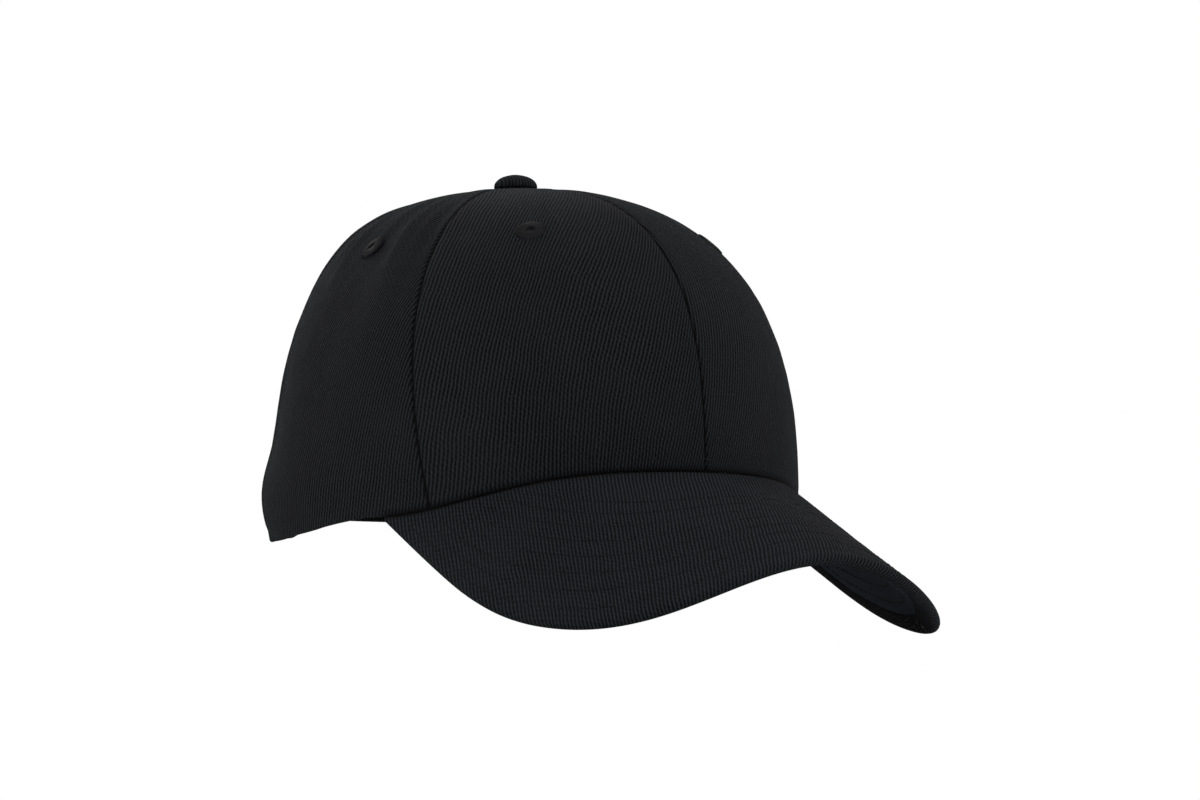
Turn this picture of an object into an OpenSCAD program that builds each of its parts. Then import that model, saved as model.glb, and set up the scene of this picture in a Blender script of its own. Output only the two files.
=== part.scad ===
// Six-panel baseball cap with a curved brim and a hook-and-loop strap at the back.
// Millimetres. +Z up, the brim points along -Y, the wearer's right is -X.
// The origin is the centre of the head opening, in the plane of the cap's lower edge.
// The crown is described by an angle around the head (0 at the centre front, positive
// towards +X) and a climb from 0 at the lower edge to 1 under the top button.

/* [Crown] */
// Outer width of the crown at its lower edge
crown_width = 168; // [150:1:190]
// Outer length of the crown at its lower edge
crown_length = 202; // [185:1:225]
// Height of the crown's top above the head opening
crown_height = 111; // [95:1:130]
// Fullness of the front panels, where 2 is an ellipse and more is boxier
front_fullness = 2.65; // [2.2:0.05:3.2]
// Fullness of the back panels
back_fullness = 3.0; // [2.2:0.05:3.2]
// How far the crown's top sits behind the middle of the head
top_setback = 10; // [0:1:15]
// How much of its width a panel loses by leaning in at the top
side_lean = 0.03; // [0:0.005:0.08]
// How much flatter a panel is in its middle than at its seams
panel_flatness = 0.015; // [0:0.005:0.03]
// How far the lower edge stands out beside the back opening
edge_roll = 3; // [0:0.5:5]
// How far the lower edge dips behind the wearer's ears
side_dip = 6.3; // [0:0.1:8]
// How far the crown rises to a soft point under the button
top_rise = 1.9; // [0:0.1:4]
// How far the seams beside the front panels bow backwards, in degrees
seam_bow = 6.2; // [0:0.2:8]

/* [Brim] */
// How far the brim reaches in front of the crown, seen from above
brim_reach = 67.5; // [55:1:80]
// Half of the brim's greatest width
brim_half_width = 80; // [76:1:92]
// Distance from the origin to the brim's widest place, towards the front
brim_widest = 66; // [55:1:80]
// Fall of the brim towards the front, per unit of length
brim_fall = 0.51; // [0.3:0.01:0.65]
// Radius of the brim's curve from side to side, at its crest
brim_radius = 58; // [55:1:90]
// Height of the brim's surface extended back to the origin
brim_crest = 69; // [60:0.5:75]
// Roundness of the brim's outline, where 2 is an ellipse
brim_roundness = 2.6; // [2:0.1:3]
// Angle around the head at which the brim ends
brim_end_angle = 71.5; // [60:0.5:76]
// How far the brim is raised at its shoulders, beside the crown
brim_shoulder = 5.8; // [0:0.1:7]
// How far the brim is pulled down at its middle, beside the crown
brim_saddle = 5.9; // [0:0.1:7]

/* [Cloth] */
// Thickness of the twill
twill = 0.9; // [0.5:0.1:1.2]
// Thickness of the stiff mesh behind the front panels
buckram = 0.8; // [0.4:0.1:1]
// Width of the tape over each inside seam
tape_width = 16; // [10:1:20]
// Height of the sweatband
band_height = 32; // [25:1:38]

/* [Back closure] */
// Half of the back opening's width
arch_half_width = 42; // [36:1:46]
// Height of the back opening
arch_height = 48; // [38:1:55]
// Height of the strap
strap_height = 22; // [18:1:24]
// Travel of the outer strap over the inner one, as an angle
adjust_angle = 9.4; // [4:0.2:9.4]

/* [Button and eyelets] */
// Diameter of the covered button
button_diameter = 15; // [11:0.5:17]
// Height of the covered button
button_height = 6; // [3.5:0.5:7]
// Outer diameter of an embroidered eyelet
eyelet_diameter = 10; // [8:0.5:12]
// Diameter of an eyelet's hole
eyelet_hole = 2.6; // [2:0.1:3]
// Climb of the eyelets, from 0 at the edge to 1 at the top
eyelet_climb = 0.545; // [0.45:0.005:0.62]
// Angle of the front eyelets from the centre front
front_eyelet_angle = 32; // [27:1:34]

/* [Hidden] */

$fn = 64;
black_twill = [0.10, 0.10, 0.11];
black_lining = [0.08, 0.08, 0.10];
grey_mesh = [0.29, 0.30, 0.31];
bright_steel = [0.70, 0.70, 0.72];

half_width = crown_width / 2;
half_length = crown_length / 2;
panel_angle = 60;
panel_columns = 9;
panel_rows = 14;
row_spread = 1.6;
seam_gap = 0.08;
top_climb = 0.988;
probe = 0.004;

// Depths below the crown's outer surface at which each layer starts
buckram_depth = twill + 0.3;
tape_depth = buckram_depth + buckram + 0.5;
tape_thick = 0.55;
binding_depth = twill + 0.3;
binding_thick = 0.5;
binding_width = 9;
band_depth = 4.0;
band_pocket = 1.0;
band_backing = 0.7;
band_thick = 0.9;
band_gap = 0.15;
band_lift = 0.5;
arch_power = 3;
arch_angle = asin(arch_half_width / half_width);
band_end_angle = 180 - arch_angle - 1;

// Layers of the brim, from its top face down
cover_thick = 0.7;
board_thick = 2.2;
layer_gap = 0.15;
brim_gap = 0.2;
brim_thick = 2 * cover_thick + board_thick + 2 * layer_gap;
brim_lap = 7;
brim_tuck = 3.1;
brim_front_share = 0.82;
brim_full_width = 9;
brim_thin = 0.25;
brim_max_lap = 0.85;
brim_min_lap = 0.8;
brim_columns = 22;
brim_rows = 7;
rim_steps = 6;

// The straps lie on circles about one upright axis behind the head
strap_circle = 73;
strap_axis_y = half_length - strap_circle;
strap_thick = 1.1;
patch_thick = 0.7;
patch_gap = 0.3;
inner_radius = 68.9;
sewn_gap = 0.06;
outer_radius = inner_radius + strap_thick + 2 * (patch_thick + sewn_gap) + patch_gap;
strap_low = 3;
patch_margin = 2;
tab_end_angle = 50;
outer_hinge_angle = 31.5;
inner_hinge_angle = 33;
ramp_end_angle = 26.5;
outer_free_angle = -17.5;
inner_free_angle = 13;
hinge_gap_angle = 0.6;
angle_step = 1.5;

function clamp01(t) = min(1, max(0, t));
function smooth(t) = let (s = clamp01(t)) s * s * (3 - 2 * s);
function unit(v) = v / norm(v);
function wrap(th) = abs(th) > 180 ? 360 - abs(th) : abs(th);

// Height of the brim's top face over a point of the plan
function brim_z(x, y) = let (
    s = pow(min(1, abs(x) / brim_half_width), 2),
    near = smooth((y + half_length + 64) / 70)
) brim_crest + brim_fall * y - x * x / (2 * brim_radius)
    + near * (1 - s) * (4 * brim_shoulder * s - brim_saddle);
function brim_edge_z(th) = brim_z(half_width * sin(th), -half_length * cos(th));

// Height of the crown's lower edge: on the brim in front, then a smooth sweep to 0 behind
brim_end_rise = (brim_edge_z(brim_end_angle) - brim_edge_z(brim_end_angle - 0.1)) / 0.1;
function dip_zone(t) = smooth((t - brim_end_angle) / (112 - brim_end_angle))
    * (1 - smooth((t - 128) / 28));
function sweep_z(u, span) = (2 * pow(u, 3) - 3 * u * u + 1) * brim_edge_z(brim_end_angle)
    + (pow(u, 3) - 2 * u * u + u) * brim_end_rise * span;
function base_z(th) = let (t = wrap(th), span = 180 - brim_end_angle)
    t <= brim_end_angle ? brim_edge_z(t)
        : sweep_z((t - brim_end_angle) / span, span) - side_dip * dip_zone(t);

// The lower edge stands out a little only between the side and the strap
function roll_zone(th) = let (t = wrap(th))
    smooth((t - 70) / 45) * (1 - smooth((t - 122) / 24));
function fullness(th) = back_fullness + (front_fullness - back_fullness) * (1 + cos(th)) / 2;

// The angle that a seam or thread line at an angle has bowed to at a climb
function bowed(th, v) = let (t = wrap(th))
    th + sign(th) * seam_bow * smooth(t / 30) * (1 - smooth((t - 60) / 60)) * sin(180 * pow(v, 0.7));

// A point of the crown's outer surface
function crown_point(line, v) = let (
    th = bowed(line, v),
    n = fullness(th),
    rho = pow(max(0, cos(90 * v)), 2 / n),
    climb = pow(max(0, sin(90 * v)), 2 / n),
    zb = base_z(th),
    h = (crown_height - zb) * climb,
    shrink = rho * (1 - side_lean * climb * climb)
        * (1 - panel_flatness * pow(sin(3 * th), 2) * climb),
    roll = edge_roll * roll_zone(th) * (exp(-pow((h - 16) / 14, 2)) - 0.3 * exp(-pow(h / 6, 2)))
) [
    (half_width * shrink + roll) * sin(th),
    -(half_length * shrink + roll) * cos(th) + top_setback * (1 - rho),
    zb + h + top_rise * exp(-pow(rho / 0.35, 2))
];
function crown_normal(th, v) = let (
    lo = max(0, v - probe),
    hi = min(0.996, v + probe),
    along = crown_point(th + 0.3, v) - crown_point(th - 0.3, v),
    up = crown_point(th, hi) - crown_point(th, lo)
) unit(cross(along, up));
function inside(th, v, depth) = crown_point(th, v) - depth * crown_normal(th, v);

// Climb at which a column reaches a height above the lower edge
function climb_of(th, height) =
    asin(pow(height / (crown_height - base_z(th)), fullness(th) / 2)) / 90;

// Half width of the back opening at a height, and the reverse
function arch_top(x, grow) = let (w = arch_half_width + grow, h = arch_height + grow)
    abs(x) >= w ? 0 : h * pow(1 - pow(abs(x) / w, arch_power), 1 / arch_power);

// A closed shell between an outer and an inner grid of points, both seen from outside
// with columns running to the left and rows upwards.
module shell(outer, inner) {
    cols = len(outer);
    rows = len(outer[0]);
    total = cols * rows;
    function id(i, j) = i * rows + j;
    points = concat([for (c = outer) each c], [for (c = inner) each c]);
    faces = concat(
        [for (i = [0:cols - 2], j = [0:rows - 2]) each [
            [id(i, j), id(i, j + 1), id(i + 1, j + 1)],
            [id(i, j), id(i + 1, j + 1), id(i + 1, j)],
            [total + id(i, j), total + id(i + 1, j + 1), total + id(i, j + 1)],
            [total + id(i, j), total + id(i + 1, j), total + id(i + 1, j + 1)]
        ]],
        [for (i = [0:cols - 2], j = [0, rows - 1]) let (
            a = id(i, j), b = id(i + 1, j), lower = j == 0) each [
            lower ? [a, b, total + b] : [a, total + b, b],
            lower ? [a, total + b, total + a] : [a, total + a, total + b]
        ]],
        [for (j = [0:rows - 2], i = [0, cols - 1]) let (
            a = id(i, j), b = id(i, j + 1), first = i == 0) each [
            first ? [a, total + b, b] : [a, b, total + b],
            first ? [a, total + a, total + b] : [a, total + b, total + a]
        ]]
    );
    polyhedron(points = points, faces = faces, convexity = 6);
}

// A layer of the crown over a list of columns. Each column is [angle, lowest climb, highest climb].
module crown_layer(columns, rows, depth, thickness) {
    function climb(c, j) = c[1] + (c[2] - c[1]) * pow(j / rows, row_spread);
    shell(
        [for (c = columns) [for (j = [0:rows]) inside(c[0], climb(c, j), depth)]],
        [for (c = columns) [for (j = [0:rows]) inside(c[0], climb(c, j), depth + thickness)]]
    );
}

function even(lo, hi, n) = [for (i = [0:n]) lo + (hi - lo) * i / n];

// Stands a child on the crown's outer surface, its +Z along the surface's normal
module on_crown(th, v) {
    n = crown_normal(th, v);
    translate(crown_point(th, v)) rotate([0, acos(n[2]), atan2(n[1], n[0])]) children();
}

module eyelet_cut(th) {
    on_crown(th, eyelet_climb) translate([0, 0, -5]) cylinder(r = eyelet_hole / 2 + 1, h = 10);
}

// A front or side panel between two seams
module plain_panel(from, to, hole) {
    color(black_twill) difference() {
        crown_layer([for (th = even(from + seam_gap, to - seam_gap, panel_columns))
            [th, 0, top_climb]], panel_rows, 0, twill);
        eyelet_cut(hole);
    }
}

// A back panel: its columns start on the arch where there is no cloth below
module arched_panel(side) {
    arch_columns = [for (q = even(0, 90, 7)) let (x = arch_half_width * pow(cos(q), 2 / arch_power))
        [180 - asin(x / half_width), x]];
    open_columns = [for (i = [0:4]) let (
        th = 120 + seam_gap + (180 - arch_angle - 120 - seam_gap) * i / 5) [th, half_width]];
    last = 180 - seam_gap;
    listed = concat(open_columns, [for (c = arch_columns) [min(c[0], last), c[1]]]);
    columns = [for (c = listed) let (h = arch_top(c[1], 0))
        [side * c[0], h > 0 ? climb_of(c[0], h) : 0, top_climb]];
    ordered = side > 0 ? columns : [for (i = [len(columns) - 1:-1:0]) columns[i]];
    color(black_twill) difference() {
        crown_layer(ordered, panel_rows, 0, twill);
        eyelet_cut(side * 150);
    }
}

// The stiff mesh behind a front panel
module front_mesh(from, to) {
    color(grey_mesh) difference() {
        crown_layer([for (th = even(from, to, panel_columns)) [th, climb_of(th, 2), 0.9]],
            panel_rows - 3, buckram_depth, buckram);
        eyelet_cut(sign(from + to) * front_eyelet_angle);
    }
}

// Tape over one inside seam, narrowing to a wedge under the button
module seam_tape(th, height) {
    tape_climb = 0.98;
    function half_angle(v) = min(28.5,
        tape_width / 2 / max(1, norm([for (k = [0, 1]) crown_point(th, v)[k]])) * 180 / PI);
    low = climb_of(th, height);
    climbs = [for (j = [0:12]) low + (tape_climb - low) * pow(j / 12, 1.25)];
    function grid(depth) = [for (i = [-1, 0, 1])
        [for (v = climbs) inside(th + i * half_angle(v), v, depth)]];
    color(black_lining) shell(grid(tape_depth), grid(tape_depth + tape_thick));
}

// Embroidered eyelet: a raised ring of thread with a short throat through the cloth
module eyelet(th, throat) {
    r_in = eyelet_hole / 2;
    r_out = eyelet_diameter / 2;
    color(black_twill) on_crown(th, eyelet_climb) rotate_extrude()
        polygon([[r_in, -throat], [r_in + 0.8, -throat], [r_in + 0.8, 0.22], [r_out, 0.22],
            [r_out - 0.15, 0.5], [r_out - 0.9, 0.85], [r_in + 1.2, 0.95], [r_in + 0.3, 0.8],
            [r_in, 0.45]]);
}

// Button on the crown's top: cloth over a domed steel shell, held by a plate inside
module at_top() {
    translate(crown_point(0, 1)) children();
}
shank_radius = 1.4;
plate_depth = tape_depth + tape_thick + 0.6;
plate_thick = 0.8;
module button_cover() {
    r = button_diameter / 2;
    skin = 0.7;
    color(black_twill) at_top() rotate_extrude() difference() {
        intersection() {
            translate([0, 0.1 + 1.6]) scale([r, button_height - 1.7]) circle(r = 1);
            translate([0, 0.1]) square([r, button_height]);
        }
        intersection() {
            translate([0, 0.1 + 1.6]) scale([r - skin, button_height - 1.7 - skin]) circle(r = 1);
            translate([0, 0.1 + skin]) square([r, button_height]);
        }
        square([r - 3, 0.1 + skin + 0.01]);
    }
}
module button_shell() {
    r = button_diameter / 2 - 0.8;
    color(bright_steel) at_top() {
        rotate_extrude() intersection() {
            translate([0, 1.7]) scale([r, button_height - 2.6]) circle(r = 1);
            translate([0, 0.9]) square([r, button_height]);
        }
        translate([0, 0, -plate_depth - plate_thick]) cylinder(r = shank_radius, h = plate_depth + plate_thick + 1);
    }
}
module button_back_plate() {
    color(bright_steel) at_top() translate([0, 0, -plate_depth - plate_thick]) difference() {
        cylinder(r = 8, h = plate_thick);
        translate([0, 0, -1]) cylinder(r = shank_radius + 0.05, h = plate_thick + 2);
    }
}

// Outline of the brim in plan, from 0 at its centre front to 1 at its end on the crown
function brim_outline(u) = let (
    end = [half_width * sin(brim_end_angle), -half_length * cos(brim_end_angle)],
    turn = 90 * min(1, u / brim_front_share),
    back = clamp01((u - brim_front_share) / (1 - brim_front_share))
) u <= brim_front_share
    ? [brim_half_width * pow(sin(turn), 2 / brim_roundness),
        -brim_widest - (half_length + brim_reach - brim_widest) * pow(max(0, cos(turn)), 2 / brim_roundness)]
    : [end[0] + (brim_half_width - end[0]) * cos(90 * back),
        -brim_widest + (end[1] + brim_widest) * back];
function brim_outer(u) = let (p = brim_outline(abs(u))) [u < 0 ? -p[0] : p[0], p[1]];
function brim_inner(u) = [half_width * sin(u * brim_end_angle), -half_length * cos(u * brim_end_angle)];
function brim_width(u) = norm(brim_outer(u) - brim_inner(u));
// Towards its two ends the brim thins down to slip under the crown's edge
function brim_scale(u) = max(brim_thin, min(1, brim_width(u) / brim_full_width));
function brim_normal(x, y) = unit([
    brim_z(x - 0.5, y) - brim_z(x + 0.5, y), brim_z(x, y - 0.5) - brim_z(x, y + 0.5), 1]);

// A point of the brim: r back from its outer edge, depth below its top face
function brim_point(u, r, depth) = let (
    a = brim_outer(u),
    b = brim_inner(u),
    w = max(0.01, norm(b - a)),
    p = a + (b - a) * r / w
) [p[0], p[1], brim_z(p[0], p[1]) - brim_gap] - depth * brim_normal(p[0], p[1]);
// A point of the narrow strip that lies under the crown's edge
function tuck_point(u, depth) = let (q = inside(u * brim_end_angle, 0, brim_tuck * brim_scale(u)))
    [q[0], q[1], base_z(u * brim_end_angle) - brim_gap - depth];

brim_stations = [for (u = even(-0.985, 0.985, brim_columns * 2)) sign(u) * pow(abs(u), 0.92)];
// One face of a layer, from the tucked strip out to a distance short of the edge
function brim_face(u, depth, edge) = let (
    k = brim_scale(u), w = brim_width(u), r = min(edge * k, brim_max_lap * w)
) concat(
    [tuck_point(u, depth * k)],
    [for (j = [0:brim_rows]) brim_point(u, w + (r - w) * j / brim_rows, depth * k)]
);
// The half round of the rim and the strip lapped under it
function brim_rim(u, radius) = let (k = brim_scale(u), c = brim_thick / 2) concat(
    [for (i = [1:rim_steps]) let (q = 180 * i / rim_steps)
        brim_point(u, (c - radius * sin(q)) * k, (c - radius * cos(q)) * k)],
    [brim_point(u, min(brim_lap * k, brim_min_lap * brim_width(u)), (c + radius) * k)]
);
module brim_top_cover() {
    c = brim_thick / 2;
    function column(u, radius) = concat(brim_face(u, c - radius, c), brim_rim(u, radius));
    color(black_twill) shell(
        [for (u = brim_stations) column(-u, c)],
        [for (u = brim_stations) column(-u, c - cover_thick)]
    );
}
module brim_sheet(top, thickness, edge) {
    shell(
        [for (u = brim_stations) brim_face(-u, top, edge)],
        [for (u = brim_stations) brim_face(-u, top + thickness, edge)]
    );
}
module brim_board() {
    color(black_lining) brim_sheet(cover_thick + layer_gap, board_thick, 1.6);
}
module brim_under_cover() {
    color(black_lining) brim_sheet(brim_thick - cover_thick, cover_thick, brim_lap + 0.3);
}

// Sweatband and its backing: a ring inside the crown, open behind the arch
function band_depth_at(th) = band_depth + band_pocket * smooth((wrap(th) - 105) / 30);
module band_layer(start, thickness) {
    function grid(extra) = [for (th = even(-band_end_angle, band_end_angle, 50))
        [for (h = [band_lift, band_height / 2, band_height])
            inside(th, climb_of(th, h), band_depth_at(th) + start + extra)]];
    shell(grid(0), grid(thickness));
}
module sweatband_backing() {
    color(grey_mesh) band_layer(0, band_backing);
}
module sweatband() {
    color(black_lining) band_layer(band_backing + band_gap, band_thick);
}

// Binding on the inside of the back opening's edge
module back_arch_binding() {
    function rim(q, grow) = let (
        w = arch_half_width + grow, h = arch_height + grow,
        x = w * sign(cos(q)) * pow(abs(cos(q)), 2 / arch_power),
        z = h * pow(max(0, sin(q)), 2 / arch_power),
        th = 180 - asin(x / half_width)
    ) [th, climb_of(wrap(th), max(0.5, z))];
    function grid(depth) = [for (q = even(0, 180, 24)) [for (g = [binding_width, binding_width / 2, 0.4])
        let (c = rim(q, g)) inside(c[0], c[1], depth)]];
    color(black_twill) shell(grid(binding_depth), grid(binding_depth + binding_thick));
}

// Flat curved pieces of the closure: a plan outline lifted to the strap's height.
// Angles are measured from +Y about the strap axis, positive towards +X.
function at_axis(r, q) = [r * sin(q), strap_axis_y + r * cos(q)];
function angles(from, to) = let (n = max(2, ceil(abs(to - from) / angle_step))) even(from, to, n);
module curved_piece(from, to, r_in, r_out, margin) {
    translate([0, 0, strap_low + margin]) linear_extrude(strap_height - 2 * margin) polygon(concat(
        [for (q = angles(from, to)) at_axis(r_in, q)],
        [for (q = angles(to, from)) at_axis(r_out, q)]
    ));
}
function ramp_radius(q) = inner_radius + (outer_radius - inner_radius)
    * smooth((outer_hinge_angle - q) / (outer_hinge_angle - ramp_end_angle));

module outer_strap_tab() {
    color(black_twill) curved_piece(outer_hinge_angle + hinge_gap_angle, tab_end_angle,
        inner_radius, inner_radius + strap_thick, 0);
}
module outer_strap() {
    path = concat(angles(outer_free_angle, ramp_end_angle),
        even(ramp_end_angle + 0.5, outer_hinge_angle, 9));
    color(black_twill) translate([0, 0, strap_low]) linear_extrude(strap_height) polygon(concat(
        [for (q = path) at_axis(ramp_radius(q), q)],
        [for (i = [len(path) - 1:-1:0]) at_axis(ramp_radius(path[i]) + strap_thick, path[i])]
    ));
}
module hook_patch() {
    color(black_lining) curved_piece(outer_free_angle + 1.2, inner_free_angle - 2,
        outer_radius - sewn_gap - patch_thick, outer_radius - sewn_gap, patch_margin);
}
module inner_strap_tab() {
    color(black_twill) curved_piece(-tab_end_angle, -inner_hinge_angle - hinge_gap_angle,
        inner_radius, inner_radius + strap_thick, 0);
}
module inner_strap() {
    color(black_twill) curved_piece(-inner_hinge_angle, inner_free_angle,
        inner_radius, inner_radius + strap_thick, 0);
}
module loop_patch() {
    color(black_lining) curved_piece(-inner_hinge_angle + 4, inner_free_angle - 1,
        inner_radius + strap_thick + sewn_gap, inner_radius + strap_thick + sewn_gap + patch_thick,
        patch_margin);
}

module front_panel_right() plain_panel(-panel_angle, 0, -front_eyelet_angle);
module front_panel_left() plain_panel(0, panel_angle, front_eyelet_angle);
module side_panel_right() plain_panel(-2 * panel_angle, -panel_angle, -90);
module side_panel_left() plain_panel(panel_angle, 2 * panel_angle, 90);
module back_panel_right() arched_panel(-1);
module back_panel_left() arched_panel(1);
module front_buckram_right() front_mesh(-58, -1);
module front_buckram_left() front_mesh(1, 58);

front_throat = buckram_depth + buckram + 0.1;
plain_throat = twill + 0.3;
tape_foot = 6;
arch_clear = arch_height + 2;

front_panel_right();
front_panel_left();
side_panel_right();
side_panel_left();
back_panel_right();
back_panel_left();
front_buckram_right();
front_buckram_left();
eyelet(-front_eyelet_angle, front_throat);  // front_eyelet_right
eyelet(front_eyelet_angle, front_throat);  // front_eyelet_left
eyelet(-90, plain_throat);  // side_eyelet_right
eyelet(90, plain_throat);  // side_eyelet_left
eyelet(-150, plain_throat);  // back_eyelet_right
eyelet(150, plain_throat);  // back_eyelet_left
seam_tape(0, tape_foot);  // seam_tape_front
seam_tape(-60, tape_foot);  // seam_tape_front_right
seam_tape(60, tape_foot);  // seam_tape_front_left
seam_tape(-120, tape_foot);  // seam_tape_back_right
seam_tape(120, tape_foot);  // seam_tape_back_left
seam_tape(180, arch_clear);  // seam_tape_back
button_cover();
button_shell();
button_back_plate();
brim_top_cover();
brim_board();
brim_under_cover();
sweatband();
sweatband_backing();
back_arch_binding();
outer_strap_tab();
outer_strap();
hook_patch();
inner_strap_tab();
inner_strap();
loop_patch();
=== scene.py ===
"""Six-panel baseball cap in black cotton twill, with a curved brim and a hook-and-loop strap.

Sizes are millimetres while a shape is worked out, and metres in the meshes.
The crown is described by theta, degrees round the head from the centre front and positive
towards +X, and by climb, from 0 at the lower edge to 1 under the top button.
"""

import logging
import math
from collections.abc import Callable
from dataclasses import dataclass
from enum import Enum
from functools import partial
from typing import Any

import bmesh
import bpy
import numpy as np
from mathutils import Matrix, Vector

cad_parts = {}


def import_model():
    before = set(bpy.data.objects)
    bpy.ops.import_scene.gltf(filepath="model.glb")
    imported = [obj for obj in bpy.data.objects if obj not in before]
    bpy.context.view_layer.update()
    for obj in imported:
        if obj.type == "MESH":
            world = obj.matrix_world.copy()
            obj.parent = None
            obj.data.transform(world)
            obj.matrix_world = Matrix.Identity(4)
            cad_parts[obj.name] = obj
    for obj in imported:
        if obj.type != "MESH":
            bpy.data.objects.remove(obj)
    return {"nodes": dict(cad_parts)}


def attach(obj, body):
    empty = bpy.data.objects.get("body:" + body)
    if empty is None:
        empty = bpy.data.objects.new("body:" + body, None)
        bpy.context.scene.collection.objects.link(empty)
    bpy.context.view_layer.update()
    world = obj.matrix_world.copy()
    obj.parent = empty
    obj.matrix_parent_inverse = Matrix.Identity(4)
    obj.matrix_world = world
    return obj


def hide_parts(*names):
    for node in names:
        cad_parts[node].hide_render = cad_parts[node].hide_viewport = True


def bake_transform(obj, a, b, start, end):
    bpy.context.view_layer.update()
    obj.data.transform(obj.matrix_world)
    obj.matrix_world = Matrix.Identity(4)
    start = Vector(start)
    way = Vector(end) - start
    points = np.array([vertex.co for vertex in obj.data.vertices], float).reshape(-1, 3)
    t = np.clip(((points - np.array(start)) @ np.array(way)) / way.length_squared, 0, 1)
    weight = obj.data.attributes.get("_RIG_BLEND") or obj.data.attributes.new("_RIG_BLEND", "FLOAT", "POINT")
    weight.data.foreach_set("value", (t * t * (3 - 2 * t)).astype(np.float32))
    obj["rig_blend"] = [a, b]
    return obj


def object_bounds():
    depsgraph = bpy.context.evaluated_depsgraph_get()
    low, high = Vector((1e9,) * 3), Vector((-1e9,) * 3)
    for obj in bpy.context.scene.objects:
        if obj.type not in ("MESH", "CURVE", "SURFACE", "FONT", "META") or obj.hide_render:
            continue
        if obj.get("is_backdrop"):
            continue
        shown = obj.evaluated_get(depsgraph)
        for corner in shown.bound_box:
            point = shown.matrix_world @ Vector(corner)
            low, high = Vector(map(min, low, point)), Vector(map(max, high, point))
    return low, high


Array = np.ndarray
Adder = Callable[..., bpy.types.Node]
LOG = logging.getLogger("cap")
MM = 0.001
CLOTH_UV = "cloth"
# Name of the point attribute that marks painted shade in the seams, under the sewn edge and along the brim's
# join
SEAM_SHADE = "seam_shade"
UP = np.array([0.0, 0.0, 1.0])
DEGREES_PER_RADIAN = 57.3
# Where a rounded edge has its points, in degrees from the outer face
HALF_ROUND = (150, 115, 65, 30)
# Where the inner layers start and end, in millimetres under the crown's outer face
MESH_DEPTHS = (1.2, 2.0)
TAPE_DEPTHS = (2.55, 3.05)
BINDING_DEPTHS = (1.2, 1.7)


class Body(str, Enum):
    """The bodies that pieces ride on."""

    SHELL = "shell"
    SLIDER = "strap_slider"
    OUTER_FLAP = "outer_flap"
    INNER_FLAP = "inner_flap"


class Side(Enum):
    """The wearer's two sides, by the sign of theta."""

    RIGHT = -1
    LEFT = 1


# ---------------------------------------------------------------- small maths


def smooth(t: Array | float) -> Array | float:
    """Returns t clamped to 0..1 and eased at both ends."""
    s = np.clip(t, 0.0, 1.0)
    return s * s * (3 - 2 * s)


def unit(v: Array) -> Array:
    """Returns vectors of length one."""
    return v / np.maximum(np.linalg.norm(v, axis=-1, keepdims=True), 1e-12)


def wrap(theta: Array) -> Array:
    """Returns the size of an angle folded back into 0..180 degrees."""
    t = np.abs(theta)
    return np.where(t > 180, 360 - t, t)


def lumps(x: Array, y: Array, seed: int) -> Array:
    """A smooth random field from -1 to 1 with about one lump per unit.

    Args:
        x, y: where to read it.
        seed: picks the field.

    Returns:
        The value at each place.
    """
    table = np.random.default_rng(seed).uniform(-1, 1, (64, 64))
    xi = np.floor(x).astype(int)
    yi = np.floor(y).astype(int)
    sx = smooth(x - xi)
    sy = smooth(y - yi)
    low = table[xi % 64, yi % 64] * (1 - sx) + table[(xi + 1) % 64, yi % 64] * sx
    high = table[xi % 64, (yi + 1) % 64] * (1 - sx) + table[(xi + 1) % 64, (yi + 1) % 64] * sx
    return low * (1 - sy) + high * sy


def eased(low: float, high: float, count: int) -> Array:
    """Returns count + 1 values from low to high, closer together near both ends."""
    t = np.linspace(0, 1, count + 1)
    return low + (high - low) * (0.35 * t + 0.65 * smooth(t))


def bell(x: Array, width: float, middle: float = 0.0) -> Array:
    """Returns a bump of height one round a middle value."""
    return np.exp(-((x - middle) / width) ** 2)


def new_object(name: str, data: Any) -> bpy.types.Object:
    """Returns a new object in the scene."""
    item = bpy.data.objects.new(name, data)
    bpy.context.scene.collection.objects.link(item)
    return item


def tie(piece: bpy.types.Object, part: str | None = None,
        body: Body = Body.SHELL) -> bpy.types.Object:
    """Ties a piece to its body and the CAD part that it stands for, if any."""
    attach(piece, body.value)
    if part:
        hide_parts(part)
    return piece


# ---------------------------------------------------------------- meshes

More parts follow.
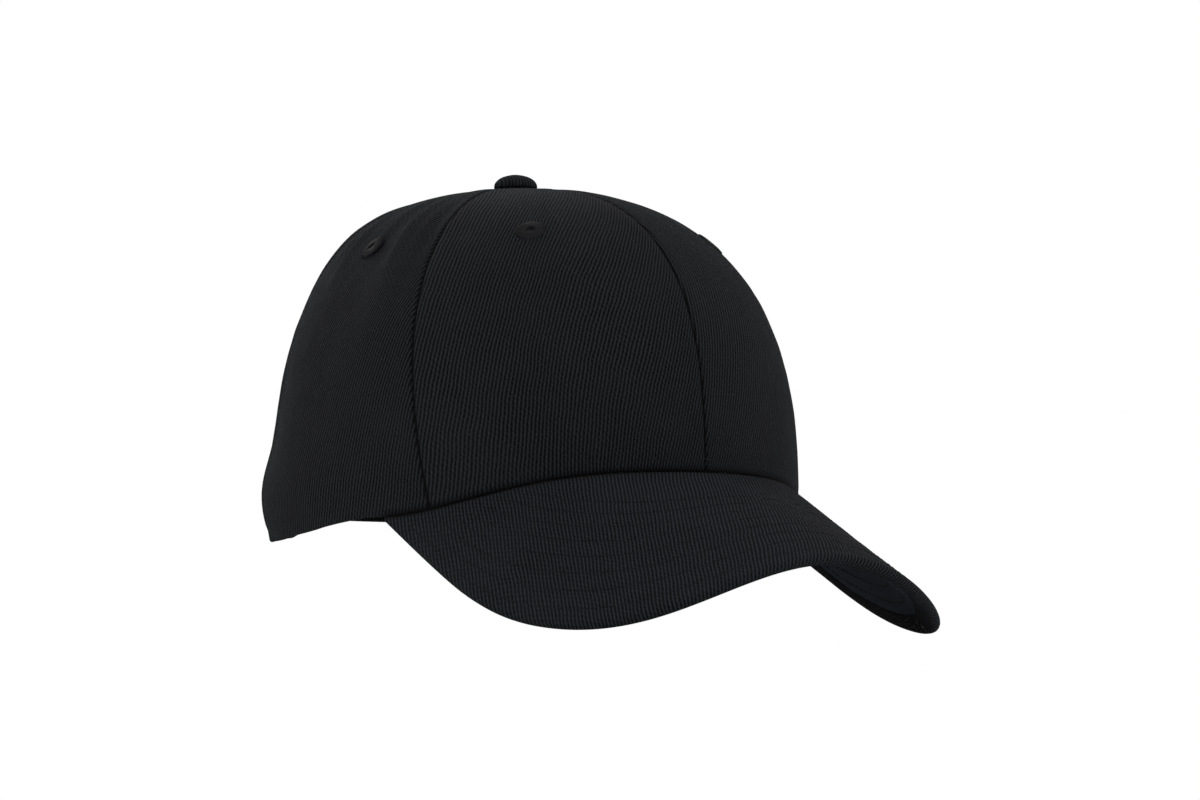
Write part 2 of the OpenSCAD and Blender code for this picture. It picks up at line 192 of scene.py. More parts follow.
@dataclass
class Surface:
    """Points, faces and cloth coordinates of one mesh, in millimetres."""

    points: Array
    faces: list[tuple[int, ...]]
    cloth: Array
    # Share of painted shade at each point, for seams and the sewn edge, from 0 to 1, or none
    seam_shade: Array | None = None

    def outward(self) -> "Surface":
        """Returns the surface with its faces turned outwards, by the sign of its volume."""
        first = [f[0] for f in self.faces]
        volume = 0.0
        for k in (1, 2):
            usable = [f for f in self.faces if len(f) > k + 1]
            a = self.points[[f[0] for f in usable]]
            b = self.points[[f[k] for f in usable]]
            c = self.points[[f[k + 1] for f in usable]]
            volume += float(np.einsum("ij,ij->i", a, np.cross(b, c)).sum())
        if volume < 0 and first:
            self.faces = [tuple(reversed(f)) for f in self.faces]
        return self

    def make(self, name: str, finish: bpy.types.Material, merge: bool = False,
             sharp: float = 50.0) -> bpy.types.Object:
        """Makes the Blender object.

        Args:
            name: the piece's name.
            finish: its material.
            merge: whether points that coincide, as at a pole, are joined.
            sharp: the angle in degrees above which an edge stays crisp.

        Returns:
            The new object, at the origin.
        """
        mesh = bpy.data.meshes.new(name)
        mesh.from_pydata((self.points * MM).tolist(), [], self.faces)
        corners = np.empty(len(mesh.loops), dtype=np.int32)
        mesh.loops.foreach_get("vertex_index", corners)
        layer = mesh.uv_layers.new(name=CLOTH_UV)
        layer.data.foreach_set("uv", (self.cloth[corners] * MM).astype(np.float32).ravel())
        # Stores the painted seam shade as a point attribute that the cloth material reads
        if self.seam_shade is not None:
            depth = mesh.attributes.new(SEAM_SHADE, "FLOAT", "POINT")
            depth.data.foreach_set("value", self.seam_shade.astype(np.float32).ravel())
        if merge:
            work = bmesh.new()
            work.from_mesh(mesh)
            bmesh.ops.remove_doubles(work, verts=work.verts, dist=1e-6)
            bmesh.ops.recalc_face_normals(work, faces=work.faces)
            work.to_mesh(mesh)
            work.free()
        mesh.shade_smooth()
        mesh.set_sharp_from_angle(angle=math.radians(sharp))
        mesh.materials.append(finish)
        return new_object(name, mesh)


def loft(outer: Array, inner: Array, cloth: Array, round_first: bool = False,
         round_last: bool = False, seam_shade: Array | None = None) -> Surface:
    """A closed shell between two grids of points.

    Args:
        outer, inner: grids of columns by rows by 3.
        cloth: the grid's cloth coordinates, columns by rows by 2.
        round_first, round_last: whether the edge at the first or last row is a half round.
        seam_shade: how much painted shade each place of the outer grid takes in a seam, from 0 to 1.

    Returns:
        The shell.
    """
    if seam_shade is not None:
        cloth = np.concatenate([cloth, seam_shade[..., None]], axis=-1)

    def half_round(row: int, neighbour: int) -> Array:
        """Returns four columns of points round one edge, from the inner to the outer grid."""
        middle = (outer[:, row] + inner[:, row]) / 2
        half = (outer[:, row] - inner[:, row]) / 2
        out = unit(outer[:, row] - outer[:, neighbour]) * np.linalg.norm(half, axis=-1)[:, None]
        turns = np.radians(HALF_ROUND)
        return np.stack([middle + half * math.cos(a) + out * math.sin(a) for a in turns], axis=1)

    loop = [outer]
    cloth_loop = [cloth]
    if round_last:
        loop.append(half_round(-1, -2)[:, ::-1])
        cloth_loop.append(np.repeat(cloth[:, -1:], 4, axis=1))
    loop.append(inner[:, ::-1])
    cloth_loop.append(cloth[:, ::-1])
    if round_first:
        turn = half_round(0, 1)
        loop.insert(0, turn[:, 2:])
        cloth_loop.insert(0, np.repeat(cloth[:, :1], 2, axis=1))
        loop.append(turn[:, :2])
        cloth_loop.append(np.repeat(cloth[:, :1], 2, axis=1))
    grid = np.concatenate(loop, axis=1)
    uv = np.concatenate(cloth_loop, axis=1)
    columns, around = grid.shape[:2]
    faces: list[tuple[int, ...]] = []
    for i in range(columns - 1):
        here = i * around
        there = here + around
        for k in range(around):
            m = (k + 1) % around
            faces.append((here + k, here + m, there + m, there + k))
    for base in (0, (columns - 1) * around):
        for k in range(around // 2 - 1):
            cap = (base + k, base + around - 1 - k, base + around - 2 - k, base + k + 1)
            faces.append(cap if base == 0 else tuple(reversed(cap)))
    flat = uv.reshape(columns * around, -1)
    deep = None if seam_shade is None else flat[:, 2]
    return Surface(grid.reshape(-1, 3), faces, flat[:, :2], deep).outward()


def spun(profile: Array, segments: int, place: Array) -> Surface:
    """A profile of radius and height turned about an axis.

    Args:
        profile: points by 2, a closed loop or a line from pole to pole.
        segments: how many steps the turn has.
        place: a 3 by 4 matrix from the axis to the object.

    Returns:
        The turned surface, with its poles not yet merged.
    """
    angles = np.arange(segments) * 2 * math.pi / segments
    r = profile[:, 0][None, :]
    x = np.cos(angles)[:, None] * r
    y = np.sin(angles)[:, None] * r
    z = np.broadcast_to(profile[:, 1][None, :], x.shape)
    local = np.stack([x, y, z], axis=-1)
    points = local @ place[:, :3].T + place[:, 3]
    run = np.concatenate([[0], np.cumsum(np.linalg.norm(np.diff(profile, axis=0), axis=1))])
    flat = np.stack([np.cos(angles)[:, None] * run, np.sin(angles)[:, None] * run], axis=-1)
    count = len(profile)
    closed = bool(np.linalg.norm(profile[0] - profile[-1]) > 0.01 and profile[0, 0] > 0.01)
    faces = []
    for i in range(segments):
        j = (i + 1) % segments
        for k in range(count if closed else count - 1):
            m = (k + 1) % count
            faces.append((i * count + k, j * count + k, j * count + m, i * count + m))
    return Surface(points.reshape(-1, 3), faces, flat.reshape(-1, 2)).outward()


# ---------------------------------------------------------------- finishes


def linear(code: str) -> tuple[float, float, float, float]:
    """Turns an sRGB hex colour into linear RGBA."""
    parts = [int(code[i:i + 2], 16) / 255 for i in (1, 3, 5)]
    light = [p / 12.92 if p <= 0.04045 else ((p + 0.055) / 1.055) ** 2.4 for p in parts]
    return (light[0], light[1], light[2], 1.0)


def add_node(tree: bpy.types.NodeTree, kind: str, inputs: dict[Any, Any] | None = None,
             **settings: Any) -> bpy.types.Node:
    """Adds one node to a tree.

    Args:
        tree: the node tree.
        kind: the node's type; a shader node's goes without its "ShaderNode".
        inputs: for each socket's name or number, a value, or the node or socket that feeds it.
        settings: the node's own properties.

    Returns:
        The node.
    """
    node = tree.nodes.new(kind if "Node" in kind else "ShaderNode" + kind)
    for name, value in settings.items():
        setattr(node, name, value)
    for key, value in (inputs or {}).items():
        source = value.outputs[0] if isinstance(value, bpy.types.Node) else value
        if isinstance(source, bpy.types.NodeSocket):
            tree.links.new(source, node.inputs[key])
        else:
            node.inputs[key].default_value = source
    return node


def new_material(name: str) -> tuple[bpy.types.Material, Adder]:
    """Returns a material and the function that adds nodes to its empty tree."""
    material = bpy.data.materials.new(name)
    material.use_nodes = True
    material.node_tree.nodes.clear()
    return material, partial(add_node, material.node_tree)


def cloth_place(node: Adder, scale: float, detail: float,
                sway: float) -> tuple[bpy.types.Node, bpy.types.Node]:
    """Draws a cloth's coordinates in millimetres, straight and with a slow drift.

    Args:
        node: adds a node to the material.
        scale, detail: of the drift's noise.
        sway: how far the yarns drift.

    Returns:
        The straight and the drifting coordinates.
    """
    flat = node("UVMap", uv_map=CLOTH_UV)
    mm = node("VectorMath", {0: flat, 3: 1000.0}, operation="SCALE")
    drift = node("TexNoise", {"Vector": mm, "Scale": scale, "Detail": detail})
    swayed = node("VectorMath", {0: drift.outputs["Color"], 1: (sway, sway, 0.0), 2: mm},
                  operation="MULTIPLY_ADD")
    return mm, swayed


def lay_surface(node: Adder, relief: bpy.types.Node, strength: Any, depth: float,
                surface: dict[str, Any]) -> None:
    """Ends a material with its relief, its surface and its output.

    Args:
        node: adds a node to the material.
        relief: the height that the light sees.
        strength, depth: how strong the relief is, and how deep in millimetres.
        surface: the surface shader's inputs.
    """
    bump = node("Bump", {"Strength": strength, "Distance": depth * MM, "Height": relief})
    shader = node("BsdfPrincipled", {"Normal": bump, **surface})
    node("OutputMaterial", {0: shader})


@dataclass(frozen=True)
class Twill:
    """Twill: yarn floats that step sideways row by row, so that fine ribs run slantwise.

    It gives the eye parallel ribs with dark valleys of painted shade, a matt face and a little fibre haze.
    """

    name: str
    rib: str
    valley_shade: str
    faded: str
    rib_pitch: float = 1.2
    float_length: float = 1.9
    lean: float = 16.0
    height: float = 0.3
    roughness: float = 0.88
    haze: float = 0.03
    haze_tint: str = "#8f939b"
    relief: float = 1.0

    def make(self) -> bpy.types.Material:
        """Returns the cloth's material, with its ribs drawn on the cloth coordinates."""
        material, node = new_material(self.name)
        mm, swayed = cloth_place(node, 0.07, 1.0, 1.3)
        wobble = node("TexNoise", {"Vector": mm, "Scale": 0.55, "Detail": 2.0}).outputs["Color"]
        yarn = node("VectorMath", {0: wobble, 1: (0.4, 0.4, 0.0), 2: swayed},
                    operation="MULTIPLY_ADD")
        turned = node("Mapping",
                      {"Vector": yarn, "Rotation": (0.0, 0.0, -math.radians(self.lean)),
                       "Scale": (self.rib_pitch, self.float_length, 1.0)},
                      vector_type="TEXTURE")
        axes = node("SeparateXYZ", {0: turned}).outputs
        across = node("Math", {0: axes["X"], 1: 2 * math.pi}, operation="MULTIPLY")
        ribs = node("Math", {0: across}, operation="SINE")
        step = node("Math", {0: axes["X"], 1: 0.38, 2: axes["Y"]}, operation="MULTIPLY_ADD")
        along = node("Math", {0: step, 1: 2 * math.pi}, operation="MULTIPLY")
        floats = node("Math", {0: along}, operation="SINE")
        fibre = node("TexNoise", {"Vector": mm, "Scale": 1.5, "Detail": 4.0, "Roughness": 0.65})
        crossed = node("Math", {0: floats, 1: 0.22, 2: ribs}, operation="MULTIPLY_ADD")
        height = node("Math", {0: fibre, 1: 1.7, 2: crossed}, operation="MULTIPLY_ADD")
        cover = node("MapRange", {0: height, 1: -0.25, 2: 1.85},
                     interpolation_type="SMOOTHSTEP")
        # Rib tops take the yarn colour and the valleys between the ribs take a near-black painted shade
        ribs_and_valley_shade = node("Mix", {0: cover, 6: linear(self.valley_shade), 7: linear(self.rib)},
                    data_type="RGBA").outputs[2]
        patch = node("TexNoise", {"Vector": mm, "Scale": 0.028, "Detail": 3.0, "Roughness": 0.6})
        worn = node("MapRange", {0: patch, 1: 0.42, 2: 0.72, 3: 0.0, 4: 0.55})
        toned = node("Mix", {0: worn, 6: ribs_and_valley_shade, 7: linear(self.faded)},
                     data_type="RGBA").outputs[2]
        kept = node("Mix", {0: 0.75, 6: toned, 7: ribs_and_valley_shade}, data_type="RGBA").outputs[2]
        speck = node("TexNoise", {"Vector": mm, "Scale": 2.3, "Detail": 2.0, "Roughness": 0.7})
        lint = node("MapRange", {0: speck, 1: 0.63, 2: 0.8, 3: 0.0, 4: 0.35})
        colour = node("Mix", {0: lint, 6: kept, 7: linear(self.haze_tint)},
                      data_type="RGBA").outputs[2]
        # Painted shade: where the mesh marks a seam or the sewn edge, the colour goes to the dark colour of
        # the rib valleys and the bump fades
        seam = node("Attribute", attribute_name=SEAM_SHADE).outputs["Fac"]
        shaded = node("Mix", {0: seam, 6: colour, 7: linear(self.valley_shade)},
                      data_type="RGBA").outputs[2]
        strength = node("Math", {0: seam, 1: -self.relief, 2: self.relief},
                        operation="MULTIPLY_ADD")
        lay_surface(node, height, strength, self.height,
                    {"Base Color": shaded, "Roughness": self.roughness, "IOR": 1.5,
                     "Specular IOR Level": 0.08, "Sheen Weight": self.haze,
                     "Sheen Roughness": 0.45, "Sheen Tint": linear(self.haze_tint)})
        return material


@dataclass(frozen=True)
class PlainWeave:
    """Plain weave: threads over and under one another in a square grid, as in tape and mesh.

    It gives the eye a small even grid, with holes where the weave is open.
    """

    name: str
    thread: str
    hole: str
    pitch: float = 0.9
    openness: float = 0.3
    height: float = 0.2
    roughness: float = 0.8
    haze: float = 0.1

    def make(self) -> bpy.types.Material:
        """Returns the weave's material, drawn on the cloth coordinates."""
        material, node = new_material(self.name)
        mm, swayed = cloth_place(node, 0.12, 2.0, 1.2)
        turns = node("VectorMath", {0: swayed, 3: 2 * math.pi / self.pitch}, operation="SCALE")
        waves = node("VectorMath", {0: turns}, operation="SINE")
        axes = node("SeparateXYZ", {0: waves}).outputs
        grid = node("Math", {0: axes["X"], 1: axes["Y"]}, operation="MAXIMUM")
        fibre = node("TexNoise", {"Vector": mm, "Scale": 1.8, "Detail": 3.0})
        height = node("Math", {0: fibre, 1: 0.9, 2: grid}, operation="MULTIPLY_ADD")
        cover = node("MapRange", {0: height, 1: self.openness - 0.3, 2: self.openness + 0.5})
        colour = node("Mix", {0: cover, 6: linear(self.hole), 7: linear(self.thread)},
                      data_type="RGBA").outputs[2]
        lay_surface(node, height, 0.7, self.height,
                    {"Base Color": colour, "Roughness": self.roughness, "IOR": 1.5,
                     "Specular IOR Level": 0.12, "Sheen Weight": self.haze,
                     "Sheen Roughness": 0.5})
        return material


@dataclass(frozen=True)
class Grained:
    """A solid or a spun thread whose surface is a fine grain on the object's own place.

    Polyester thread and brushed nylon have a soft lustre with fine fibre grain, zinc-plated
    steel a faintly mottled bare metal face, and polyethylene board is a waxy moulded sheet.
    """

    name: str
    base: str
    shade: str
    grain: float
    roughness: float
    height: float = 0.03
    metallic: float = 0.0
    ior: float = 1.5
    haze: float = 0.0
    gloss: float = 0.5

    def make(self) -> bpy.types.Material:
        """Returns the material, with its grain drawn on the object's coordinates."""
        material, node = new_material(self.name)
        place = node("TexCoord").outputs["Object"]
        fine = 1 / (self.grain * MM)
        grain = node("TexNoise",
                     {"Vector": place, "Scale": fine, "Detail": 4.0, "Roughness": 0.6})
        broad = node("TexNoise", {"Vector": place, "Scale": fine / 14, "Detail": 2.0})
        mixed = node("Math", {0: grain, 1: broad}, operation="ADD")
        share = node("MapRange", {0: mixed, 1: 0.7, 2: 1.3})
        colour = node("Mix", {0: share, 6: linear(self.shade), 7: linear(self.base)},
                      data_type="RGBA").outputs[2]
        rough = node("MapRange", {0: grain, 1: 0.3, 2: 0.7, 3: self.roughness - 0.08,
                                  4: min(1.0, self.roughness + 0.08)})
        lay_surface(node, grain, 0.5, self.height,
                    {"Base Color": colour, "Roughness": rough, "Metallic": self.metallic,
                     "IOR": self.ior, "Specular IOR Level": self.gloss,
                     "Sheen Weight": self.haze, "Sheen Roughness": 0.5})
        return material


@dataclass
class Finishes:
    """Every finish of the cap, made once."""

    def __post_init__(self) -> None:
        """Makes the materials."""
        # In each twill below the second colour is painted shade, for the valleys between the ribs and for
        # any marked seams and sewn edges
        # Black cotton twill of the crown, steep ribs 1.2 mm apart, slightly greyed by wear
        self.crown = Twill("black_crown_twill", "#292b2e", "#030304", "#303236",
                           lean=16.0).make()
        # The same cloth cut on the slant for the brim, laid taut so its ribs show more
        self.brim = Twill("black_brim_twill", "#2d2f34", "#040405", "#35373c",
                          lean=26.5, height=0.34).make()
        # Smoother bluish black twill under the brim
        self.under = Twill("blue_black_lining_twill", "#434956", "#20242c", "#4d5463",
                           rib_pitch=0.8, float_length=1.1, lean=-40.0, height=0.12,
                           relief=0.5, haze=0.08).make()
        # Herringbone-fine cotton of the sweatband
        self.band = Twill("black_sweatband_twill", "#26272b", "#0c0c0e", "#303136",
                          rib_pitch=0.9, float_length=1.2, lean=45.0, height=0.15).make()
        # Bias tape over the inside seams
        self.tape = PlainWeave("black_seam_tape", "#222327", "#0c0c0e", pitch=0.7).make()
        # Non-woven backing of the band, its bonding points drawn as a faint grid
        self.backing = PlainWeave("black_band_backing", "#1c1d1f", "#0b0b0d", pitch=1.1).make()
        # Starched open mesh that keeps the front panels up
        self.mesh = PlainWeave("stiff_buckram_mesh", "#4b4c4e", "#0c0c0e", pitch=1.6,
                               openness=0.75, height=0.4).make()
        # Spun polyester thread, two-ply, with a low lustre
        self.thread = Grained("black_polyester_thread", "#1b1c1f", "#0b0c0e", grain=0.25,
                              roughness=0.7, height=0.05, haze=0.02, gloss=0.12).make()
        # Embroidery thread round the air holes
        self.satin = Grained("black_embroidery_thread", "#191a1d", "#070708", grain=0.25,
                             roughness=0.65, height=0.05, haze=0.02, gloss=0.12).make()
        # Woven nylon ground and hooks of the closure
        self.hook = Grained("black_nylon_hook_tape", "#232428", "#0f1012", grain=0.4,
                            roughness=0.5).make()
        # Brushed nylon loops of the closure
        self.loop = Grained("black_nylon_loop_tape", "#2c2d31", "#111214", grain=0.3,
                            roughness=0.85, haze=0.08, gloss=0.2).make()
        # Moulded polyethylene board inside the brim
        self.board = Grained("black_polyethylene_board", "#1a1b1d", "#121315", grain=1.5,
                             roughness=0.45, ior=1.51).make()
        # Zinc-plated pressed steel of the button's shell and plate
        self.steel = Grained("zinc_plated_steel", "#c4c6c8", "#9fa1a4", grain=0.8,
                             roughness=0.32, metallic=1.0).make()


# ---------------------------------------------------------------- threads by geometry nodes


class ThreadTree:
    """A geometry-node tree that lays short threads along paths or on points.

    Along a path it makes a row of stitches of one length. On points it makes one thread at
    each, turned by the point's own direction.
    """

    def __init__(self, name: str, along_path: bool) -> None:
        """Builds the tree.

        Args:
            name: the tree's name.
            along_path: True for stitches along edges, False for a thread at each point.
        """
        self.tree = bpy.data.node_groups.new(name, "GeometryNodeTree")
        face = self.tree.interface
        face.new_socket(name="Geometry", in_out="INPUT", socket_type="NodeSocketGeometry")
        for label in ("Pitch", "Length", "Radius", "Flatness", "Jitter"):
            face.new_socket(name=label, in_out="INPUT", socket_type="NodeSocketFloat")
        face.new_socket(name="Seed", in_out="INPUT", socket_type="NodeSocketInt")
        face.new_socket(name="Material", in_out="INPUT", socket_type="NodeSocketMaterial")
        face.new_socket(name="Geometry", in_out="OUTPUT", socket_type="NodeSocketGeometry")
        node = partial(add_node, self.tree)
        given = node("NodeGroupInput").outputs
        if along_path:
            curve = node("GeometryNodeMeshToCurve", {0: given["Geometry"]})
            places = node("GeometryNodeResampleCurve", {0: curve, "Length": given["Pitch"]},
                          mode="LENGTH")
            heading = node("GeometryNodeInputTangent")
        else:
            places = given["Geometry"]
            heading = node("GeometryNodeInputNamedAttribute", {"Name": "heading"},
                           data_type="FLOAT_VECTOR")
        above = node("GeometryNodeInputNamedAttribute", {"Name": "above"},
                     data_type="FLOAT_VECTOR")
        pointed = node("FunctionNodeAlignRotationToVector", {"Vector": heading}, axis="X")
        upright = node("FunctionNodeAlignRotationToVector",
                       {"Rotation": pointed, "Vector": above}, axis="Z", pivot_axis="X")
        bead = node("GeometryNodeMeshUVSphere", {"Segments": 8, "Rings": 6, "Radius": 1.0})
        half = node("Math", {0: given["Length"], 1: 0.5}, operation="MULTIPLY")
        thin = node("Math", {0: given["Radius"], 1: given["Flatness"]}, operation="MULTIPLY")
        size = node("CombineXYZ", {0: half, 1: given["Radius"], 2: thin})
        thread = node("GeometryNodeTransform", {"Geometry": bead, "Scale": size})
        least = node("Math", {0: 1.0, 1: given["Jitter"]}, operation="SUBTRACT")
        most = node("Math", {0: 1.0, 1: given["Jitter"]}, operation="ADD")
        vary = node("FunctionNodeRandomValue", {2: least, 3: most, "Seed": given["Seed"]},
                    data_type="FLOAT")
        laid = node("GeometryNodeInstanceOnPoints",
                    {"Points": places, "Instance": thread, "Rotation": upright,
                     "Scale": vary.outputs[1]})
        real = node("GeometryNodeRealizeInstances", {0: laid})
        dressed = node("GeometryNodeSetMaterial", {0: real, "Material": given["Material"]})
        node("NodeGroupOutput", {0: dressed})

    def grow(self, name: str, strands: list[tuple[Array, Array, Array]], finish: bpy.types.Material,
             pitch: float, length: float, radius: float, flatness: float = 0.7,
             jitter: float = 0.06, seed: int = 1) -> bpy.types.Object:
        """Lays the threads and returns them as one plain mesh.

        Args:
            name: the piece's name.
            strands: for each path or patch of points, the points, their headings and what is up.
            finish: the thread's material.
            pitch, length, radius: the stitch spacing, thread length and half width, mm.
            flatness: the thread's height as a share of its width.
            jitter: how much one thread's size differs from the next.
            seed: picks the differences.

        Returns:
            The piece.
        """
        points = np.concatenate([s[0] for s in strands]) * MM
        headings = np.concatenate([s[1] for s in strands])
        ups = np.concatenate([s[2] for s in strands])
        edges = []
        start = 0
        for strand in strands:
            count = len(strand[0])
            edges += [(start + k, start + k + 1) for k in range(count - 1)]
            start += count
        mesh = bpy.data.meshes.new(name)
        mesh.from_pydata(points.tolist(), edges, [])
        for label, values in (("heading", headings), ("above", ups)):
            attribute = mesh.attributes.new(label, "FLOAT_VECTOR", "POINT")
            attribute.data.foreach_set("vector", values.astype(np.float32).ravel())
        piece = new_object(name, mesh)
        modifier = piece.modifiers.new("threads", "NODES")
        modifier.node_group = self.tree
        given = {"Pitch": pitch * MM, "Length": length * MM, "Radius": radius * MM,
                 "Flatness": flatness, "Jitter": jitter, "Seed": seed, "Material": finish}
        for item in self.tree.interface.items_tree:
            if item.in_out == "INPUT" and item.name in given:
                modifier[item.identifier] = given[item.name]
        bpy.context.view_layer.update()
        graph = bpy.context.evaluated_depsgraph_get()
        result = bpy.data.meshes.new_from_object(piece.evaluated_get(graph), depsgraph=graph)
        piece.modifiers.clear()
        piece.data = result
        result.name = name
        for label in [a.name for a in result.attributes if a.name in ("heading", "above")]:
            result.attributes.remove(result.attributes[label])
        result.shade_smooth()
        return piece


# ---------------------------------------------------------------- the crown's form


@dataclass(frozen=True)
class BrimPlane:
    """The curved surface that the brim's top face lies on."""

    crest: float = 69.0
    fall: float = 0.51
    radius: float = 58.0
    shoulder: float = 5.8
    saddle: float = 5.9
    half_width: float = 80.0
    crown_front: float = 101.0

    def height(self, x: Array, y: Array) -> Array:
        """Returns the surface's height over points of the plan."""
        s = np.minimum(1, np.abs(x) / self.half_width) ** 2
        near = smooth((y + self.crown_front + 64) / 70)
        bent = near * (1 - s) * (4 * self.shoulder * s - self.saddle)
        return self.crest + self.fall * y - x * x / (2 * self.radius) + bent

    def normal(self, x: Array, y: Array) -> Array:
        """Returns the surface's upward normal."""
        across = self.height(x - 0.5, y) - self.height(x + 0.5, y)
        along = self.height(x, y - 0.5) - self.height(x, y + 0.5)
        return unit(np.stack([across, along, np.ones_like(x)], -1))

    def flat(self, x: Array, y: Array) -> Array:
        """Returns where each point lies on the flat cut cloth, which rolls without stretching."""
        slant = math.hypot(1.0, self.fall)
        k = np.abs(x) / (self.radius * slant)
        arc = np.sign(x) * self.radius * slant * (k * np.sqrt(1 + k * k) + np.arcsinh(k)) / 2
        run = y * slant - self.fall * x * x / (2 * self.radius * slant)
        return np.stack([arc, run], -1)


@dataclass(frozen=True)
class CrownForm:
    """The rounded shape that the six panels make."""

    plane: BrimPlane = BrimPlane()
    half_width: float = 84.0
    half_length: float = 101.0
    height: float = 111.0
    front_fullness: float = 2.65
    back_fullness: float = 3.0
    setback: float = 10.0
    lean: float = 0.03
    flatness: float = 0.015
    edge_roll: float = 3.0
    side_dip: float = 6.3
    top_rise: float = 1.9
    seam_bow: float = 6.2
    brim_end: float = 71.5
    top_climb: float = 0.988
    arch_half_width: float = 42.0
    arch_height: float = 48.0
    arch_power: float = 3.0

    def edge_height(self, theta: Array) -> Array:
        """Returns the height of the lower edge: on the brim in front, then a sweep to 0."""
        t = wrap(theta)

        def on_brim(angle: Array) -> Array:
            """Returns the height of the line where the brim meets the crown."""
            rad = np.radians(angle)
            return self.plane.height(self.half_width * np.sin(rad), -self.half_length * np.cos(rad))

        end = np.array([self.brim_end, self.brim_end - 0.1])
        z_end, z_before = on_brim(end)
        rise = (z_end - z_before) / 0.1
        span = 180 - self.brim_end
        u = np.clip((t - self.brim_end) / span, 0, 1)
        back = (2 * u ** 3 - 3 * u * u + 1) * z_end + (u ** 3 - 2 * u * u + u) * rise * span
        back -= self.side_dip * smooth((t - self.brim_end) / (112 - self.brim_end)) * (
            1 - smooth((t - 128) / 28))
        return np.where(t <= self.brim_end, on_brim(np.minimum(t, self.brim_end)), back)

    def bowed(self, line: Array, climb: Array) -> Array:
        """Returns the angle that a seam or thread line has bowed to at a climb."""
        t = wrap(line)
        share = smooth(t / 30) * (1 - smooth((t - 60) / 60))
        return line + np.sign(line) * self.seam_bow * share * np.sin(
            math.pi * np.maximum(climb, 0) ** 0.7)

    def fullness(self, theta: Array) -> Array:
        """Returns how boxy the crown is at an angle."""
        share = (1 + np.cos(np.radians(theta))) / 2
        return self.back_fullness + (self.front_fullness - self.back_fullness) * share

    def point(self, line: Array, climb: Array) -> Array:
        """Returns points of the outer surface on the thread lines that start at an angle."""
        theta = self.bowed(line, climb)
        rad = np.radians(theta)
        n = self.fullness(theta)
        rho = np.maximum(0, np.cos(np.radians(90 * climb))) ** (2 / n)
        lift = np.maximum(0, np.sin(np.radians(90 * climb))) ** (2 / n)
        base = self.edge_height(theta)
        h = (self.height - base) * lift
        shrink = rho * (1 - self.lean * lift ** 2) * (
            1 - self.flatness * np.sin(3 * rad) ** 2 * lift)
        t = wrap(theta)
        zone = smooth((t - 70) / 45) * (1 - smooth((t - 122) / 24))
        roll = self.edge_roll * zone * (bell(h, 14, 16) - 0.3 * bell(h, 6))
        return np.stack([
            (self.half_width * shrink + roll) * np.sin(rad),
            -(self.half_length * shrink + roll) * np.cos(rad) + self.setback * (1 - rho),
            base + h + self.top_rise * bell(rho, 0.35)], axis=-1)

    def normal(self, theta: Array, climb: Array) -> Array:
        """Returns the outward normals."""
        low = np.maximum(0, climb - 0.004)
        high = np.minimum(0.996, climb + 0.004)
        along = self.point(theta + 0.3, climb) - self.point(theta - 0.3, climb)
        up = self.point(theta, high) - self.point(theta, low)
        return unit(np.cross(along, up))

    def climb_at(self, theta: Array, height: Array | float) -> Array:
        """Returns the climb at which a column is that high above the lower edge."""
        share = np.clip(height / (self.height - self.edge_height(theta)), 0, 1)
        return np.degrees(np.arcsin(share ** (self.fullness(theta) / 2))) / 90

    def arch_top(self, x: Array) -> Array:
        """Returns the height of the back opening over a distance from its middle."""
        share = np.clip(np.abs(x) / self.arch_half_width, 0, 1)
        return self.arch_height * (1 - share ** self.arch_power) ** (1 / self.arch_power)

    def arch(self, q: Array, grow: Array | float = 0.0) -> tuple[Array, Array]:
        """Returns x and height of the back opening's outline, made larger by grow.

        Args:
            q: how far round the outline, 0 to pi radians.
            grow: how far outside the opening the line runs.
        """
        c = np.cos(q)
        x = (self.arch_half_width + grow) * np.sign(c) * np.abs(c) ** (2 / self.arch_power)
        z = (self.arch_height + grow) * np.maximum(0, np.sin(q)) ** (2 / self.arch_power)
        return x, z

    def back_angle(self, x: Array) -> Array:
        """Returns the angle round the head of a place behind it."""
        return 180 - np.degrees(np.arcsin(x / self.half_width))

    def slack(self, theta: Array, climb: Array) -> Array:
        """Returns how far worn cloth stands off its ideal shape: broad dents and soft folds."""
        p = self.point(theta, climb)
        h = p[..., 2] - self.edge_height(theta)
        t = wrap(theta)
        free = smooth((h - 9) / 25) * (1 - smooth((climb - 0.9) / 0.07))
        soft = 0.45 + 0.95 * smooth((t - 52) / 25)
        broad = 0.55 * lumps(theta / 17 + 3, p[..., 2] / 34 + 2, 5)
        folds = 2.1 * lumps(theta / 5.5 + p[..., 2] / 60, p[..., 2] / 44 + 7, 11)
        high = smooth((climb - 0.35) / 0.3) * (1 - smooth((climb - 0.7) / 0.22)) * smooth((t - 54) / 16)
        return free * (soft * broad + high * folds + 0.12 * lumps(theta / 3, h / 7, 23))

    def layer(self, theta: Array, climb: Array, depth: Array | float) -> Array:
        """Returns points at a depth under the worn outer surface."""
        away = (self.slack(theta, climb) - depth)[..., None]
        return self.point(theta, climb) + away * self.normal(theta, climb)

    def flat(self, theta: Array, climb: Array, middle: float) -> Array:
        """Returns cloth coordinates of a gore, measured from its middle line.

        Args:
            theta, climb: grids of places.
            middle: theta of the gore's middle line.

        Returns:
            Distance round and up, in millimetres.
        """
        p = self.point(theta, climb)
        radius = np.hypot(p[..., 0], p[..., 1] - self.setback * smooth(climb))
        across = np.radians(theta - middle) * radius
        n = self.fullness(theta)
        rho = np.cos(np.radians(90 * climb)) ** (2 / n)
        up = p[..., 2] + 0.55 * self.half_width * (1 - rho)
        return np.stack([across, up], axis=-1)

    def frame_at(self, theta: float, climb: float) -> Array:
        """Returns a 3 by 4 matrix that stands things on the surface, +Z outwards."""
        th = np.array([theta])
        v = np.array([climb])
        z = self.normal(th, v)[0]
        x = unit(np.cross(UP, z))
        y = np.cross(z, x)
        place = self.layer(th, v, 0.0)[0]
        return np.column_stack([x, y, z, place])


# ---------------------------------------------------------------- the crown's pieces


